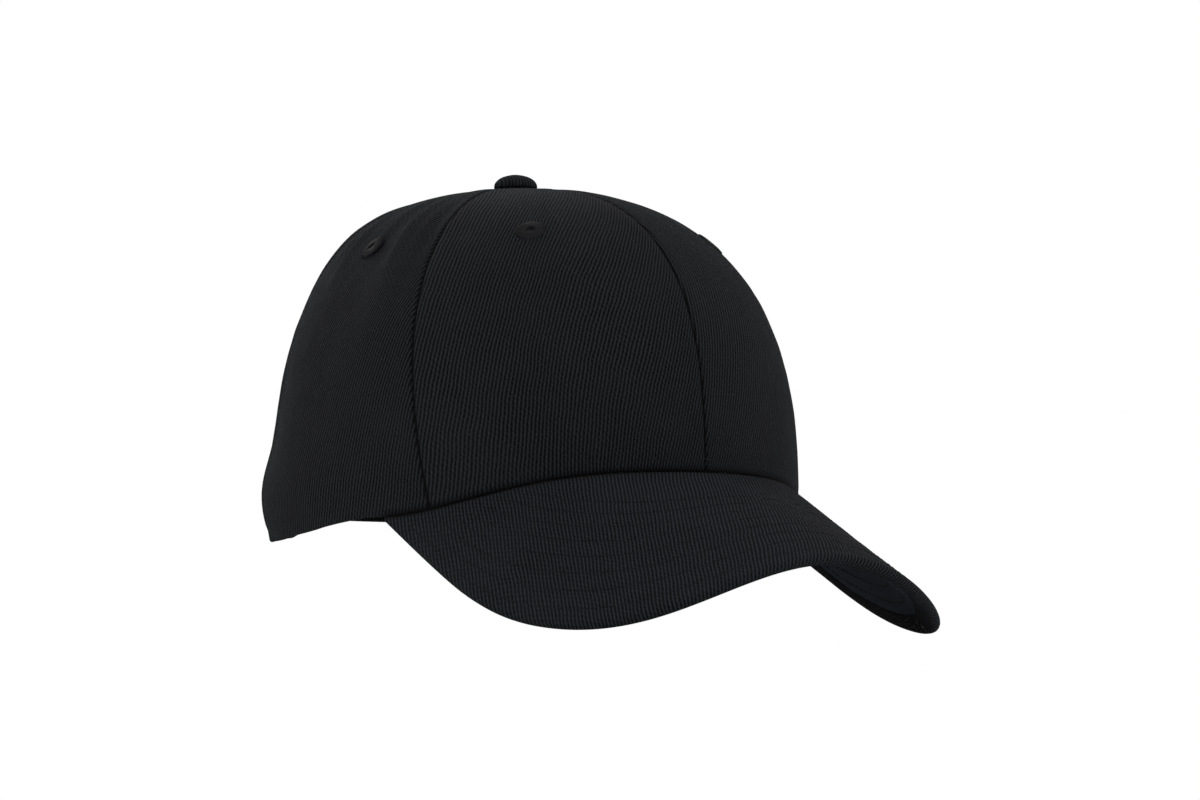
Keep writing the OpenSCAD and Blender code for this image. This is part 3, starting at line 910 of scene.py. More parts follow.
@dataclass
class CrownPanels:
    """The six gores, the mesh behind the front two and the tapes over the seams."""

    form: CrownForm
    finishes: Finishes
    thick: float = 0.9
    seam_gap: float = 0.015
    columns: int = 96
    rows: int = 96
    groove_depth: float = 0.75
    groove_width: float = 0.6
    hem_tuck: float = 0.75
    # Width in millimetres of the painted shade band along each seam
    seam_shade_width: float = 0.5
    tape_half_width: float = 8.0
    hem_line: float = 4.0
    arch_lines: tuple[float, float] = (2.2, 8.0)
    tape_lines: tuple[float, float] = (-0.62, 0.62)
    tape_top: float = 0.978
    mesh_top: float = 0.9

    def seam_place(self, theta: Array, point: Array) -> tuple[Array, Array, Array]:
        """Returns the nearest seam's angle, the distance from it and the height over the edge."""
        nearest = np.round(theta / 60) * 60
        radius = np.hypot(point[..., 0], point[..., 1])
        away = np.radians(np.abs(theta - nearest)) * np.maximum(radius, 6)
        return nearest, away, point[..., 2] - self.form.edge_height(theta)

    def face_relief(self, theta: Array, point: Array) -> Array:
        """Returns how the outer face dips and puckers at its seams and its sewn edge."""
        nearest, away, h = self.seam_place(theta, point)
        dip = -self.groove_depth * bell(away, self.groove_width)
        turned_in = 0.2 * bell(away, 2.4, 3.4)
        pucker = 0.12 * lumps(h / 4.5 + nearest, away / 9 + nearest, 31) * bell(away, 7)
        in_front = 1 - smooth((wrap(theta) - 48) / 14)
        hem = -self.hem_tuck * in_front * bell(h, 1.5)
        hem += 0.14 * bell(h, 1.3, 3.2) * lumps(theta / 2.1, h / 8, 41)
        hem -= 0.22 * bell(h, 0.55, self.hem_line)
        return dip + turned_in + pucker + hem

    def seam_shade_mask(self, theta: Array, point: Array) -> Array:
        """Returns how much painted shade each place takes in a seam or under the sewn edge, from 0 to 1."""
        _, away, h = self.seam_place(theta, point)
        in_front = 1 - smooth((wrap(theta) - 69) / 4)
        return np.maximum(bell(away, self.seam_shade_width), in_front * bell(h, 0.75))

    def gore(self, name: str, theta: Array, low: Array, middle: float) -> bpy.types.Object:
        """Makes one panel.

        Args:
            name: the piece's name.
            theta: the angle of each column.
            low: the lowest climb of each column.
            middle: theta of the gore's middle line.

        Returns:
            The panel.
        """
        form = self.form
        rise = eased(0, 1, self.rows)[None, :]
        th = np.repeat(theta[:, None], self.rows + 1, axis=1)
        climb = low[:, None] + (form.top_climb - low[:, None]) * rise
        place = form.point(th, climb)
        relief = self.face_relief(th, place)
        outer = form.layer(th, climb, -np.maximum(relief, 0.1 - self.thick))
        inner = form.layer(th, climb, self.thick)
        surface = loft(outer, inner, form.flat(th, climb, middle), round_first=True,
                       seam_shade=self.seam_shade_mask(th, place))
        return surface.make(name, self.finishes.crown)

    def build(self) -> list[bpy.types.Object]:
        """Makes and dresses the six panels."""
        made = []
        for middle, part in ((-30, "front_panel_right"), (30, "front_panel_left"),
                             (-90, "side_panel_right"), (90, "side_panel_left")):
            theta = self.spaced(middle - 30 + self.seam_gap, middle + 30 - self.seam_gap)
            low = self.form.climb_at(theta, 0.15)
            piece = self.gore(part + "_cloth", theta, self.form.climb_at(theta, 0.15), middle)
            made.append(tie(piece, part))
        for side, part in ((Side.RIGHT, "back_panel_right"), (Side.LEFT, "back_panel_left")):
            theta, low = self.arched_columns()
            if side is Side.RIGHT:
                theta, low = -theta[::-1], low[::-1]
            piece = self.gore(part + "_cloth", theta, low, 150 * side.value)
            made.append(tie(piece, part))
        return made

    def spaced(self, low: float, high: float) -> Array:
        """Returns columns that crowd towards the two seams."""
        t = np.linspace(-1, 1, self.columns + 1)
        s = 0.28 * t + 0.72 * np.sin(t * math.pi / 2)
        return (low + high) / 2 + (high - low) / 2 * s

    def arched_columns(self) -> tuple[Array, Array]:
        """Returns angle and lowest climb for a back panel's columns, beside and on the arch."""
        form = self.form
        x, _ = form.arch(np.radians(np.linspace(0, 90, 46)))
        x = np.concatenate([x[x > 4.0], 3.6 * 0.72 ** np.arange(12), [0.0]])
        on_arch = form.back_angle(x)
        open_side = np.linspace(120 + self.seam_gap, on_arch[0], 42)[:-1]
        theta = np.concatenate([open_side, np.minimum(on_arch, 180 - self.seam_gap)])
        high = np.concatenate([np.zeros(len(open_side)), form.arch_top(x)])
        return theta, form.climb_at(theta, np.maximum(high, 0.5))
    def stiffening(self) -> list[bpy.types.Object]:
        """Makes the stiff mesh behind the front panels."""
        made = []
        for low, high, part in ((-58, -1, "front_buckram_right"), (1, 58, "front_buckram_left")):
            theta = np.linspace(low, high, 41)
            th = np.repeat(theta[:, None], 49, axis=1)
            foot = self.form.climb_at(theta, 2.4)[:, None]
            climb = foot + (self.mesh_top - foot) * eased(0, 1, 48)[None, :]
            start, end = MESH_DEPTHS
            outer = self.form.layer(th, climb, start)
            inner = self.form.layer(th, climb, end)
            cloth = self.form.flat(th, climb, (low + high) / 2)
            piece = loft(outer, inner, cloth).make(part + "_mesh", self.finishes.mesh)
            made.append(tie(piece, part))
        return made

    def taping(self, threads: ThreadTree) -> list[bpy.types.Object]:
        """Makes the tape over each inside seam and the two rows of stitches that hold it."""
        made = []
        rows = []
        seams = ((0, 6, "seam_tape_front"), (-60, 6, "seam_tape_front_right"),
                 (60, 6, "seam_tape_front_left"), (-120, 6, "seam_tape_back_right"),
                 (120, 6, "seam_tape_back_left"), (180, 50, "seam_tape_back"))
        for theta, foot, part in seams:
            at = np.array([float(theta)])
            low = float(self.form.climb_at(at, foot)[0])
            climb = low + (self.tape_top - low) * eased(0, 1, 60)
            line = self.form.point(np.full_like(climb, theta), climb)
            reach = np.hypot(line[:, 0], line[:, 1])
            half = np.minimum(28.5, np.degrees(self.tape_half_width / np.maximum(reach, 1)))
            across = np.linspace(-1, 1, 13)
            th = theta + across[:, None] * half[None, :]
            v = np.repeat(climb[None, :], 13, axis=0)
            swell = 0.1 * np.cos(across * math.pi)[:, None]
            start, end = TAPE_DEPTHS
            outer = self.form.layer(th, v, start)
            inner = self.form.layer(th, v, end + swell)
            cloth = np.stack([across[:, None] * self.tape_half_width + 0 * v,
                              line[None, :, 2] + 0 * v], -1)
            piece = loft(outer, inner, cloth).make(part + "_cloth", self.finishes.tape)
            made.append(tie(piece, part))
            for share in self.tape_lines:
                row_th = theta + share * half[2:-6]
                row = self.form.layer(row_th, climb[2:-6], 3.1)
                up = -self.form.normal(row_th, climb[2:-6])
                rows.append((row, up, up))
        stitches = threads.grow("seam_tape_stitches", rows, self.finishes.thread,
                                pitch=3.0, length=2.5, radius=0.22, seed=3)
        made.append(tie(stitches))
        return made

    def hems(self, threads: ThreadTree) -> bpy.types.Object:
        """Makes the stitch rows above the lower edge and round the back opening."""
        form = self.form
        end = 180 - math.degrees(math.asin(form.arch_half_width / form.half_width)) - 2
        theta = np.linspace(-end, end, 500)
        climb = form.climb_at(theta, self.hem_line)
        rows = [(form.layer(theta, climb, 0.3), form.normal(theta, climb),
                 form.normal(theta, climb))]
        for grow in self.arch_lines:
            x, z = form.arch(np.radians(np.linspace(3, 177, 220)), grow)
            keep = z > 5.5
            th = form.back_angle(x[keep])
            v = form.climb_at(th, z[keep])
            rows.append((form.layer(th, v, 0.06), form.normal(th, v), form.normal(th, v)))
        piece = threads.grow("edge_stitches", rows, self.finishes.thread,
                             pitch=3.1, length=2.7, radius=0.24, seed=5)
        return tie(piece)


@dataclass
class Eyelets:
    """Six air holes, each a raised ring of embroidery thread laid across the edge."""

    form: CrownForm
    finishes: Finishes
    climb: float = 0.545
    outer: float = 5.0
    hole: float = 1.0
    throat: float = 1.2
    front_throat: float = 2.1
    threads_round: int = 46

    def build(self, threads: ThreadTree) -> list[bpy.types.Object]:
        """Makes the rings and their threads."""
        made = []
        lifted = []
        for theta, part in ((-32, "front_eyelet_right"), (32, "front_eyelet_left"),
                            (-90, "side_eyelet_right"), (90, "side_eyelet_left"),
                            (-150, "back_eyelet_right"), (150, "back_eyelet_left")):
            place = self.form.frame_at(theta, self.climb)
            throat = self.front_throat if abs(theta) < 60 else self.throat
            a, b = self.hole, self.outer
            ring = np.array([
                [a, -throat], [a + 0.75, -throat], [a + 0.8, 0.0], [b + 0.05, -0.35],
                [b, 0.05], [b - 0.35, 0.18], [b - 1.0, 0.3], [b - 1.8, 0.38], [a + 1.1, 0.4],
                [a + 0.5, 0.32], [a + 0.12, 0.15], [a, -0.15]])
            piece = spun(ring, 64, place).make(part + "_ring", self.finishes.satin, sharp=80)
            made.append(tie(piece, part))
            turn = np.arange(self.threads_round) * 2 * math.pi / self.threads_round
            out = np.stack([np.cos(turn), np.sin(turn), 0 * turn], -1)
            lean = np.stack([np.cos(turn + 0.12), np.sin(turn + 0.12), 0 * turn - 0.1], -1)
            middle = out * ((a + b) / 2 + 0.15)
            middle[:, 2] = 0.27
            world = middle @ place[:, :3].T + place[:, 3]
            heading = unit(lean) @ place[:, :3].T
            above = np.broadcast_to(place[:, 2], world.shape)
            lifted.append((world, heading, above))
        piece = threads.grow("eyelet_threads", lifted, self.finishes.satin,
                             pitch=1.0, length=4.2, radius=0.27, flatness=1.0,
                             jitter=0.07, seed=9)
        made.append(tie(piece))
        return made


@dataclass
class TopButton:
    """The covered button on the crown's top, over its pressed steel shell."""

    form: CrownForm
    finishes: Finishes
    radius: float = 7.5
    height: float = 6.0

    def build(self, nodes: dict[str, bpy.types.Object]) -> list[bpy.types.Object]:
        """Makes the gathered cloth cover and gives the steel parts their finish."""
        spot = self.form.point(np.array([0.0]), np.array([1.0]))[0]
        q = np.radians(np.linspace(90, -35, 34))
        r = self.radius * np.cos(q) ** 0.9
        z = 1.7 + (self.height - 1.7) * np.sin(np.maximum(q, 0)) + 1.5 * np.sin(np.minimum(q, 0))
        r[0] = 0.0
        under = np.array([[5.2, 0.25], [4.3, 0.2], [4.0, 0.9], [4.6, 0.95]])
        inner_q = np.radians(np.linspace(-10, 90, 20))
        inner_r = (self.radius - 0.7) * np.cos(inner_q) ** 0.9
        inner_z = 1.75 + (self.height - 2.4) * np.sin(np.maximum(inner_q, 0)) \
            + 0.9 * np.sin(np.minimum(inner_q, 0))
        inner_r[-1] = 0.0
        profile = np.concatenate([np.stack([r, z], -1), under, np.stack([inner_r, inner_z], -1)])
        place = np.column_stack([np.eye(3), spot])
        surface = spun(profile, 96, place)
        local = surface.points - spot
        angle = np.arctan2(local[:, 1], local[:, 0])
        low = 1 - smooth((local[:, 2] - 0.2) / 2.6)
        gather = 1 - 0.028 * low * (1 + np.sin(angle * 17 + 1.5 * np.sin(angle * 3)))
        local[:, 0] *= gather
        local[:, 1] *= gather
        local[:, 2] += 0.12 * lumps(local[:, 0] / 4 + 9, local[:, 1] / 4 + 5, 3) * (1 - low)
        surface.points = local + spot
        surface.cloth = local[:, :2] * 1.1
        cover = surface.make("button_cloth", self.finishes.crown, merge=True, sharp=70)
        for part in ("button_shell", "button_back_plate"):
            mesh = nodes[part].data
            mesh.materials.clear()
            mesh.materials.append(self.finishes.steel)
        return [tie(cover, "button_cover")]


# ---------------------------------------------------------------- the brim


@dataclass
class Brim:
    """The curved brim: cloth over a board, wrapped round the rim, with rows of stitches."""

    form: CrownForm
    finishes: Finishes
    reach: float = 67.5
    half_width: float = 80.0
    widest: float = 66.0
    roundness: float = 2.6
    front_share: float = 0.82
    cover: float = 0.7
    board: float = 2.2
    gap: float = 0.15
    lift: float = 0.2
    lap: float = 7.0
    tuck: float = 3.1
    columns: int = 230
    row_pitch: float = 6.1
    rows_sewn: int = 8
    first_row: float = 5.2
    board_setback: float = 1.6
    lap_gap: float = 0.25
    pressed: float = 0.16

    @property
    def thick(self) -> float:
        """Returns the brim's whole thickness."""
        return 2 * self.cover + self.board + 2 * self.gap

    def stations(self, count: int) -> Array:
        """Returns places round the brim, from -0.985 to 0.985."""
        u = np.linspace(-0.985, 0.985, count)
        return np.sign(u) * np.abs(u) ** 0.92

    def outer(self, u: Array) -> Array:
        """Returns the outline in plan, 0 at its centre front and 1 at its end on the crown."""
        end = math.radians(self.form.brim_end)
        ex = self.form.half_width * math.sin(end)
        ey = -self.form.half_length * math.cos(end)
        a = np.abs(u)
        turn = np.radians(90 * np.minimum(1, a / self.front_share))
        back = np.clip((a - self.front_share) / (1 - self.front_share), 0, 1)
        total = self.form.half_length + self.reach - self.widest
        fx = self.half_width * np.sin(turn) ** (2 / self.roundness)
        fy = -self.widest - total * np.maximum(0, np.cos(turn)) ** (2 / self.roundness)
        bx = ex + (self.half_width - ex) * np.cos(np.radians(90 * back))
        by = -self.widest + (ey + self.widest) * back
        x = np.where(a <= self.front_share, fx, bx)
        y = np.where(a <= self.front_share, fy, by)
        return np.stack([np.sign(u) * x, y], -1)

    def inner(self, u: Array) -> Array:
        """Returns the line where the brim meets the crown, in plan."""
        a = np.radians(u * self.form.brim_end)
        return np.stack([self.form.half_width * np.sin(a), -self.form.half_length * np.cos(a)], -1)

    def width(self, u: Array) -> Array:
        """Returns the distance between the two lines."""
        return np.linalg.norm(self.outer(u) - self.inner(u), axis=-1)

    def scale(self, u: Array) -> Array:
        """Returns how much the brim thins towards its two ends."""
        return np.maximum(0.25, np.minimum(1, self.width(u) / 9.0))

    def plan(self, u: Array, r: Array) -> Array:
        """Returns the plan point r back from the outer edge."""
        a = self.outer(u)
        b = self.inner(u)
        w = np.maximum(0.01, np.linalg.norm(b - a, axis=-1, keepdims=True))
        return a + (b - a) * np.asarray(r)[..., None] / w

    def point(self, u: Array, r: Array, depth: Array) -> Array:
        """Returns a point r back from the edge and depth below the top face."""
        p = self.plan(u, r)
        x, y = p[..., 0], p[..., 1]
        top = np.stack([x, y, self.form.plane.height(x, y) - self.lift], -1)
        return top - np.asarray(depth)[..., None] * self.form.plane.normal(x, y)

    def tucked(self, u: Array, depth: Array) -> Array:
        """Returns a point of the narrow strip that lies under the crown's edge."""
        theta = u * self.form.brim_end
        at = self.form.point(theta, 0 * theta)
        q = at - (self.tuck * self.scale(u))[:, None] * self.form.normal(theta, 0 * theta)
        q[:, 2] = self.form.edge_height(theta) - self.lift - depth
        return q

    def sewn(self) -> Array:
        """Returns how far back from the edge each row of stitches runs."""
        return self.first_row + self.row_pitch * np.arange(self.rows_sewn)

    def face_rows(self) -> Array:
        """Returns distances from the edge for a face's rows, crowded at the stitches."""
        marks = []
        for r in self.sewn():
            marks += [r - 1.6, r - 0.8, r - 0.4, r, r + 0.4, r + 0.8, r + 1.6]
        marks += list(np.arange(marks[-1] + 1.5, 79, 1.6))
        return np.array([2.6] + marks + [82.0])

    def face(self, u: Array, edge: float, depth: Array | float, pressed: float) -> tuple[Array, Array]:
        """Returns one face's grid from the tucked strip outwards, and its distances.

        Args:
            u: the columns.
            edge: how far back from the rim the face stops.
            depth: how far below the top the face lies, before the brim thins.
            pressed: how deep the stitches pull the cloth in, or negative for the underside.
        """
        k = self.scale(u)
        w = self.width(u)
        first = np.minimum(edge * k, 0.85 * w)
        marks = self.face_rows()
        marks = marks[marks > edge + 0.3]
        count = len(marks)
        slim = np.minimum(0.03, 0.35 * w / count)[:, None] * (count - np.arange(count))[None, :]
        r = np.minimum(np.maximum(marks[None, :], first[:, None] + 0.001 * np.arange(count)),
                       w[:, None] - slim)
        r = np.concatenate([first[:, None], np.maximum(r, first[:, None] + 0.0005)], axis=1)
        r[:, -1] = w
        r = r[:, ::-1]
        near = np.min(np.abs(r[..., None] - self.sewn()), axis=-1)
        dent = pressed * bell(near, 0.62)
        quilt = -0.05 * pressed * np.cos(near / self.row_pitch * 2 * math.pi)
        uu = np.repeat(u[:, None], r.shape[1], axis=1)
        waves = 0.1 * lumps(uu * 31, r / 9, 17) * np.sign(pressed) if pressed else 0.0
        calm = smooth((r - 3) / 3) * smooth((w[:, None] - r - 1.5) / 4)
        down = depth * k[:, None] + (dent + quilt + waves) * calm * k[:, None]
        grid = self.point(uu, r, down)
        tucked = self.tucked(u, depth * k)
        return np.concatenate([tucked[:, None], grid], axis=1), r

    def rim(self, u: Array, radius: float) -> Array:
        """Returns the half round of the rim and the strip lapped under it."""
        k = self.scale(u)
        w = self.width(u)
        c = self.thick / 2
        points = []
        for q in np.radians(np.linspace(18, 180, 10)):
            r = (c - radius * math.sin(q)) * k
            points.append(self.point(u, r, (c - radius * math.cos(q)) * k))
        for reach in (3.2, 4.4, 5.6, 6.4, self.lap):
            bulge = 0.12 if reach < 6.9 else 0.0
            r = np.minimum(reach * k, 0.8 * w)
            points.append(self.point(u, r, (c + radius + bulge) * k))
        return np.stack(points, axis=1)

    def flat(self, grid: Array) -> Array:
        """Returns cloth coordinates of a grid that lies along the brim."""
        return self.form.plane.flat(grid[..., 0], grid[..., 1])

    def build(self, threads: ThreadTree) -> list[bpy.types.Object]:
        """Makes the two covers, the board between them and the stitches through them."""
        u = self.stations(self.columns)
        c = self.thick / 2
        top, back = self.face(u, c, 0.0, self.pressed)
        top_in, _ = self.face(u, c, self.cover, 0.0)
        outer = np.concatenate([top, self.rim(u, c)], axis=1)
        inner = np.concatenate([top_in, self.rim(u, c - self.cover)], axis=1)
        cloth = self.flat(outer)
        wrapped = outer.shape[1] - top.shape[1]
        run = np.linalg.norm(np.diff(outer[:, -wrapped - 1:], axis=1), axis=-1).cumsum(axis=1)
        outward = unit(self.outer(u) - self.inner(u))
        cloth[:, -wrapped:] = cloth[:, -wrapped - 1:-wrapped] + run[..., None] * outward[:, None]
        # Painted shade along the join with the crown: the strip tucked under the crown's edge and the face
        # next to it darken to the colour of the rib valleys
        seam_shade = np.zeros(outer.shape[:2])
        seam_shade[:, 0] = 1.0
        seam_shade[:, 1:top.shape[1]] = bell(self.width(u)[:, None] - back, 0.7)
        piece = loft(outer, inner, cloth, seam_shade=seam_shade).make("brim_top_cloth",
                                                              self.finishes.brim)
        under = self.lap + self.lap_gap
        board = self.cover + self.gap
        made = [
            tie(piece, "brim_top_cover"),
            tie(self.sheet("brim_board_sheet", self.finishes.board, self.board_setback,
                           board, board + self.board, 0.0), "brim_board"),
            tie(self.sheet("brim_under_cloth", self.finishes.under, under, self.thick,
                           self.thick - self.cover, -self.pressed),
                "brim_under_cover")]
        for name, slot, first, depth, way, seed in (
                ("brim_top_stitches", "brim_twill", 0, 0.1, 1, 13),
                ("brim_under_stitches", "undervisor_twill", 1, self.thick - 0.1, -1, 14)):
            rows = [self.stitch_row(r, depth, way) for r in self.sewn()[first:]]
            piece = threads.grow(name, rows, self.finishes.thread, pitch=3.0, length=2.6,
                                 radius=0.24, seed=seed)
            made.append(tie(piece))
        return made

    def sheet(self, name: str, finish: bpy.types.Material, edge: float, near: float,
              far: float, pressed: float) -> bpy.types.Object:
        """Makes a layer between two depths that stops short of the rim."""
        u = self.stations(self.columns)
        seen, _ = self.face(u, edge, near, pressed)
        hidden, _ = self.face(u, edge, far, 0.0)
        return loft(seen, hidden, self.flat(seen)).make(name, finish)

    def stitch_row(self, r: float, depth: float, way: int) -> tuple[Array, Array, Array]:
        """Returns one row's path, headings and up, leaving out where the brim is too narrow."""
        u = self.stations(900)
        u = u[self.width(u) > r + 3.0]
        back = np.full_like(u, r)
        p = self.plan(u, back)
        up = self.form.plane.normal(p[:, 0], p[:, 1]) * way
        return self.point(u, back, np.full_like(u, depth)), up, up

# ---------------------------------------------------------------- inside bands


@dataclass
class InnerBands:
    """The sweatband with its backing, and the binding of the back opening."""

    form: CrownForm
    finishes: Finishes
    end_angle: float = 149.0
    height: float = 32.0
    radius: float = 92.0
    stitch_line: float = 3.3

    def depth_at(self, theta: Array) -> Array:
        """Returns how deep the band lies."""
        return 4.0 + 1.0 * smooth((wrap(theta) - 105) / 30)

    def band(self, start: float, thick: float, ripple: float) -> Surface:
        """Returns a layer of the band.

        Args:
            start: its depth behind the band's own depth.
            thick: its thickness.
            ripple: how much its free face ripples.
        """
        theta = np.linspace(-self.end_angle, self.end_angle, 260)
        high = np.concatenate([[0.7, 1.4, 2.2, 3.0, 3.6, 4.4], np.linspace(6, self.height - 0.5, 15)])
        th, h = np.meshgrid(theta, high, indexing="ij")
        climb = self.form.climb_at(th, h)
        start_depth = self.depth_at(th) + start
        wave = ripple * (lumps(th / 9, h / 16, 51) + 0.5 * lumps(th / 3, h / 9, 52))
        press = -0.2 * ripple * bell(h, 0.7, self.stitch_line) * 4
        outer = self.form.layer(th, climb, start_depth)
        inner = self.form.layer(th, climb, start_depth + thick + wave + press)
        cloth = np.stack([np.radians(th) * self.radius, h], -1)
        return loft(outer, inner, cloth, round_first=True, round_last=True)

    def build(self, threads: ThreadTree) -> list[bpy.types.Object]:
        """Makes the band, its backing, its stitches and the binding."""
        backing = self.band(0.0, 0.7, 0.0).make("sweatband_backing_cloth", self.finishes.backing)
        band = self.band(0.85, 0.9, 0.18).make("sweatband_cloth", self.finishes.band)
        theta = np.linspace(-self.end_angle + 1, self.end_angle - 1, 500)
        climb = self.form.climb_at(theta, self.stitch_line)
        line = self.form.layer(theta, climb, self.depth_at(theta) + 1.7)
        up = -self.form.normal(theta, climb)
        sewn = threads.grow("sweatband_stitches", [(line, up, up)], self.finishes.thread,
                            pitch=3.2, length=2.8, radius=0.24, seed=21)
        return [tie(backing, "sweatband_backing"),
                tie(band, "sweatband"),
                tie(sewn), self.binding()]

    def binding(self) -> bpy.types.Object:
        """Makes the bias binding inside the back opening's edge."""
        form = self.form
        q = np.radians(np.linspace(0, 180, 121))
        grows = np.linspace(9, 0.6, 9)
        x, z = form.arch(q[:, None], grows)
        th = form.back_angle(x)
        climb = form.climb_at(th, np.maximum(0.7, z))
        swell = 0.12 * np.sin(np.linspace(0, math.pi, 9))[None, :]
        start, end = BINDING_DEPTHS
        outer = form.layer(th, climb, start)
        inner = form.layer(th, climb, end + swell)
        along, out = np.meshgrid(q * 55, grows, indexing="ij")
        surface = loft(outer, inner, np.stack([along, out], -1), round_first=True,
                       round_last=True)
        piece = surface.make("back_arch_binding_cloth", self.finishes.tape)
        return tie(piece, "back_arch_binding")

# ---------------------------------------------------------------- the back closure


@dataclass(frozen=True)
class Tape:
    """One half of the hook-and-loop fastening: a woven ground and the tufts that stand on it."""

    name: str
    tufts: str
    part: str
    body: Body
    finish: bpy.types.Material
    start: float
    end: float
    low_radius: float
    high_radius: float
    tuft_radius: float
    outwards: int
    pitch: float
    lean: float
    seed: int
    margin: float = 0.4


@dataclass
class Closure:
    """Two straps on one circle behind the head, with hook tape over loop tape."""

    finishes: Finishes
    axis_y: float = 28.0
    low: float = 3.0
    height: float = 22.0
    thick: float = 1.1
    inner_radius: float = 68.9
    outer_radius: float = 71.82
    mean_radius: float = 70.0
    tab_end: float = 50.0
    outer_hinge: float = 31.5
    inner_hinge: float = 33.0
    bend_reach: float = 2.2
    ramp_end: float = 26.5
    outer_free: float = -17.5
    inner_free: float = 13.0
    corner: float = 6.0
    stitch_line: float = 0.8
    edge_start: float = 0.955
    side_margin: float = 2.3
    end_margin: float = 1.8

    def place(self, radius: Array, q: Array, z: Array) -> Array:
        """Returns points at a radius, an angle from +Y and a height."""
        a = np.radians(q)
        return np.stack([radius * np.sin(a), self.axis_y + radius * np.cos(a), z + 0 * radius], -1)

    def base(self, q: Array, ramped: bool) -> Array:
        """Returns a strap's inner radius; a ramped strap climbs over the other one."""
        share = smooth((self.outer_hinge - q) / (self.outer_hinge - self.ramp_end))
        return self.inner_radius + (self.outer_radius - self.inner_radius) * share * ramped

    def arc(self, degrees: Array | float) -> Array | float:
        """Returns the length of strap over an angle."""
        return np.abs(degrees) / DEGREES_PER_RADIAN * self.mean_radius

    def strap(self, name: str, start: float, free: float, ramped: bool) -> bpy.types.Object:
        """Makes a folded strap of cloth, its tab and its flap in one piece.

        Args:
            name: the piece's name.
            start: the angle of the sewn end.
            free: the angle of the free end, which is rounded.
            ramped: whether it climbs over the other strap.
        """
        span = abs(free - start)
        t = np.linspace(0, 1, 150)
        round_share = self.corner / self.arc(span)
        t = np.concatenate([t[t < 1 - round_share], np.linspace(1 - round_share, 1, 16)])
        q = start + (free - start) * t
        d = np.clip(self.corner - self.arc((1 - t) * span), 0, self.corner)
        half = self.height / 2 - self.corner + np.sqrt(np.maximum(self.corner ** 2 - d * d, 0.2))
        side = np.array([0.7, 0.76, self.stitch_line, 0.84, 0.9, self.edge_start, 0.985, 1])
        across = np.concatenate([-side[::-1], np.linspace(-0.6, 0.6, 9), side])
        z = self.low + self.height / 2 + half[:, None] * across[None, :]
        past = ((np.abs(across) - self.edge_start) / (1 - self.edge_start)).clip(0, 1)
        edge = np.sqrt(np.clip(1 - past ** 2, 0.04, 1))
        sewn = 0.16 * bell(np.abs(across), 0.035, self.stitch_line)
        middle = self.base(q, ramped)[:, None] + self.thick / 2
        grow = self.thick / 2 * edge[None, :]
        qq = np.repeat(q[:, None], len(across), axis=1)
        outer = self.place(middle + grow - sewn[None, :], qq, z)
        inner = self.place(middle - grow, qq, z)
        cloth = np.stack([np.radians(qq) * self.mean_radius, z], -1)
        return loft(outer, inner, cloth).make(name, self.finishes.crown, sharp=60)

    def sewing(self, threads: ThreadTree, name: str, start: float, free: float,
               ramped: bool) -> bpy.types.Object:
        """Makes the stitches along both edges of a strap and across its free end."""
        q = np.linspace(start, free - np.sign(free - start) * self.end_margin, 160)
        radius = self.base(q, ramped) + self.thick - 0.1
        heights = np.linspace(self.low + 3.4, self.low + self.height - 3.4, 20)
        lines = [(radius, q, np.full_like(q, self.low + self.side_margin)),
                 (radius, q, np.full_like(q, self.low + self.height - self.side_margin)),
                 (np.full_like(heights, radius[-1]), np.full_like(heights, q[-1]), heights)]
        rows = []
        for r, at, z in lines:
            line = self.place(r, at, z)
            up = unit(self.place(r + 1, at, z) - line)
            rows.append((line, up, up))
        return threads.grow(name, rows, self.finishes.thread, pitch=3.0, length=2.5,
                            radius=0.24, seed=31)

    def ground(self, tape: Tape) -> bpy.types.Object:
        """Makes the woven ground of a hook or loop patch."""
        q = np.linspace(tape.start, tape.end, 48)
        z = np.linspace(self.low + 2, self.low + self.height - 2, 11)
        qq, zz = np.meshgrid(q, z, indexing="ij")
        outer = self.place(np.full_like(qq, tape.high_radius), qq, zz)
        inner = self.place(np.full_like(qq, tape.low_radius), qq, zz)
        cloth = np.stack([np.radians(qq) * self.mean_radius, zz], -1)
        surface = loft(outer, inner, cloth, round_first=True, round_last=True)
        return surface.make(tape.name, tape.finish)

    def pile(self, threads: ThreadTree, tape: Tape) -> bpy.types.Object:
        """Makes the field of hooks or loops that stands on a patch."""
        rng = np.random.default_rng(tape.seed)
        start = tape.start + tape.margin
        end = tape.end - tape.margin
        count = int(self.arc(end - start) / tape.pitch)
        q = np.linspace(start, end, count + 2)[1:-1]
        z = np.arange(self.low + 3, self.low + self.height - 3, tape.pitch)
        qq, zz = (g.ravel() for g in np.meshgrid(q, z))
        qq = qq + rng.uniform(-0.25, 0.25, len(qq))
        zz = zz + rng.uniform(-0.2, 0.2, len(zz))
        radius = np.full_like(qq, tape.tuft_radius)
        at = self.place(radius, qq, zz)
        out = unit(self.place(radius + 1, qq, zz) - at) * tape.outwards
        along = unit(np.cross(out, UP))
        turn = rng.uniform(-tape.lean, tape.lean, len(qq))[:, None]
        heading = unit(out * 0.55 + along * turn + UP * turn[::-1] * 0.6)
        return threads.grow(tape.tufts, [(at, heading, out)], tape.finish, pitch=1.0,
                            length=0.62, radius=0.13, flatness=1.0, jitter=0.2, seed=tape.seed)

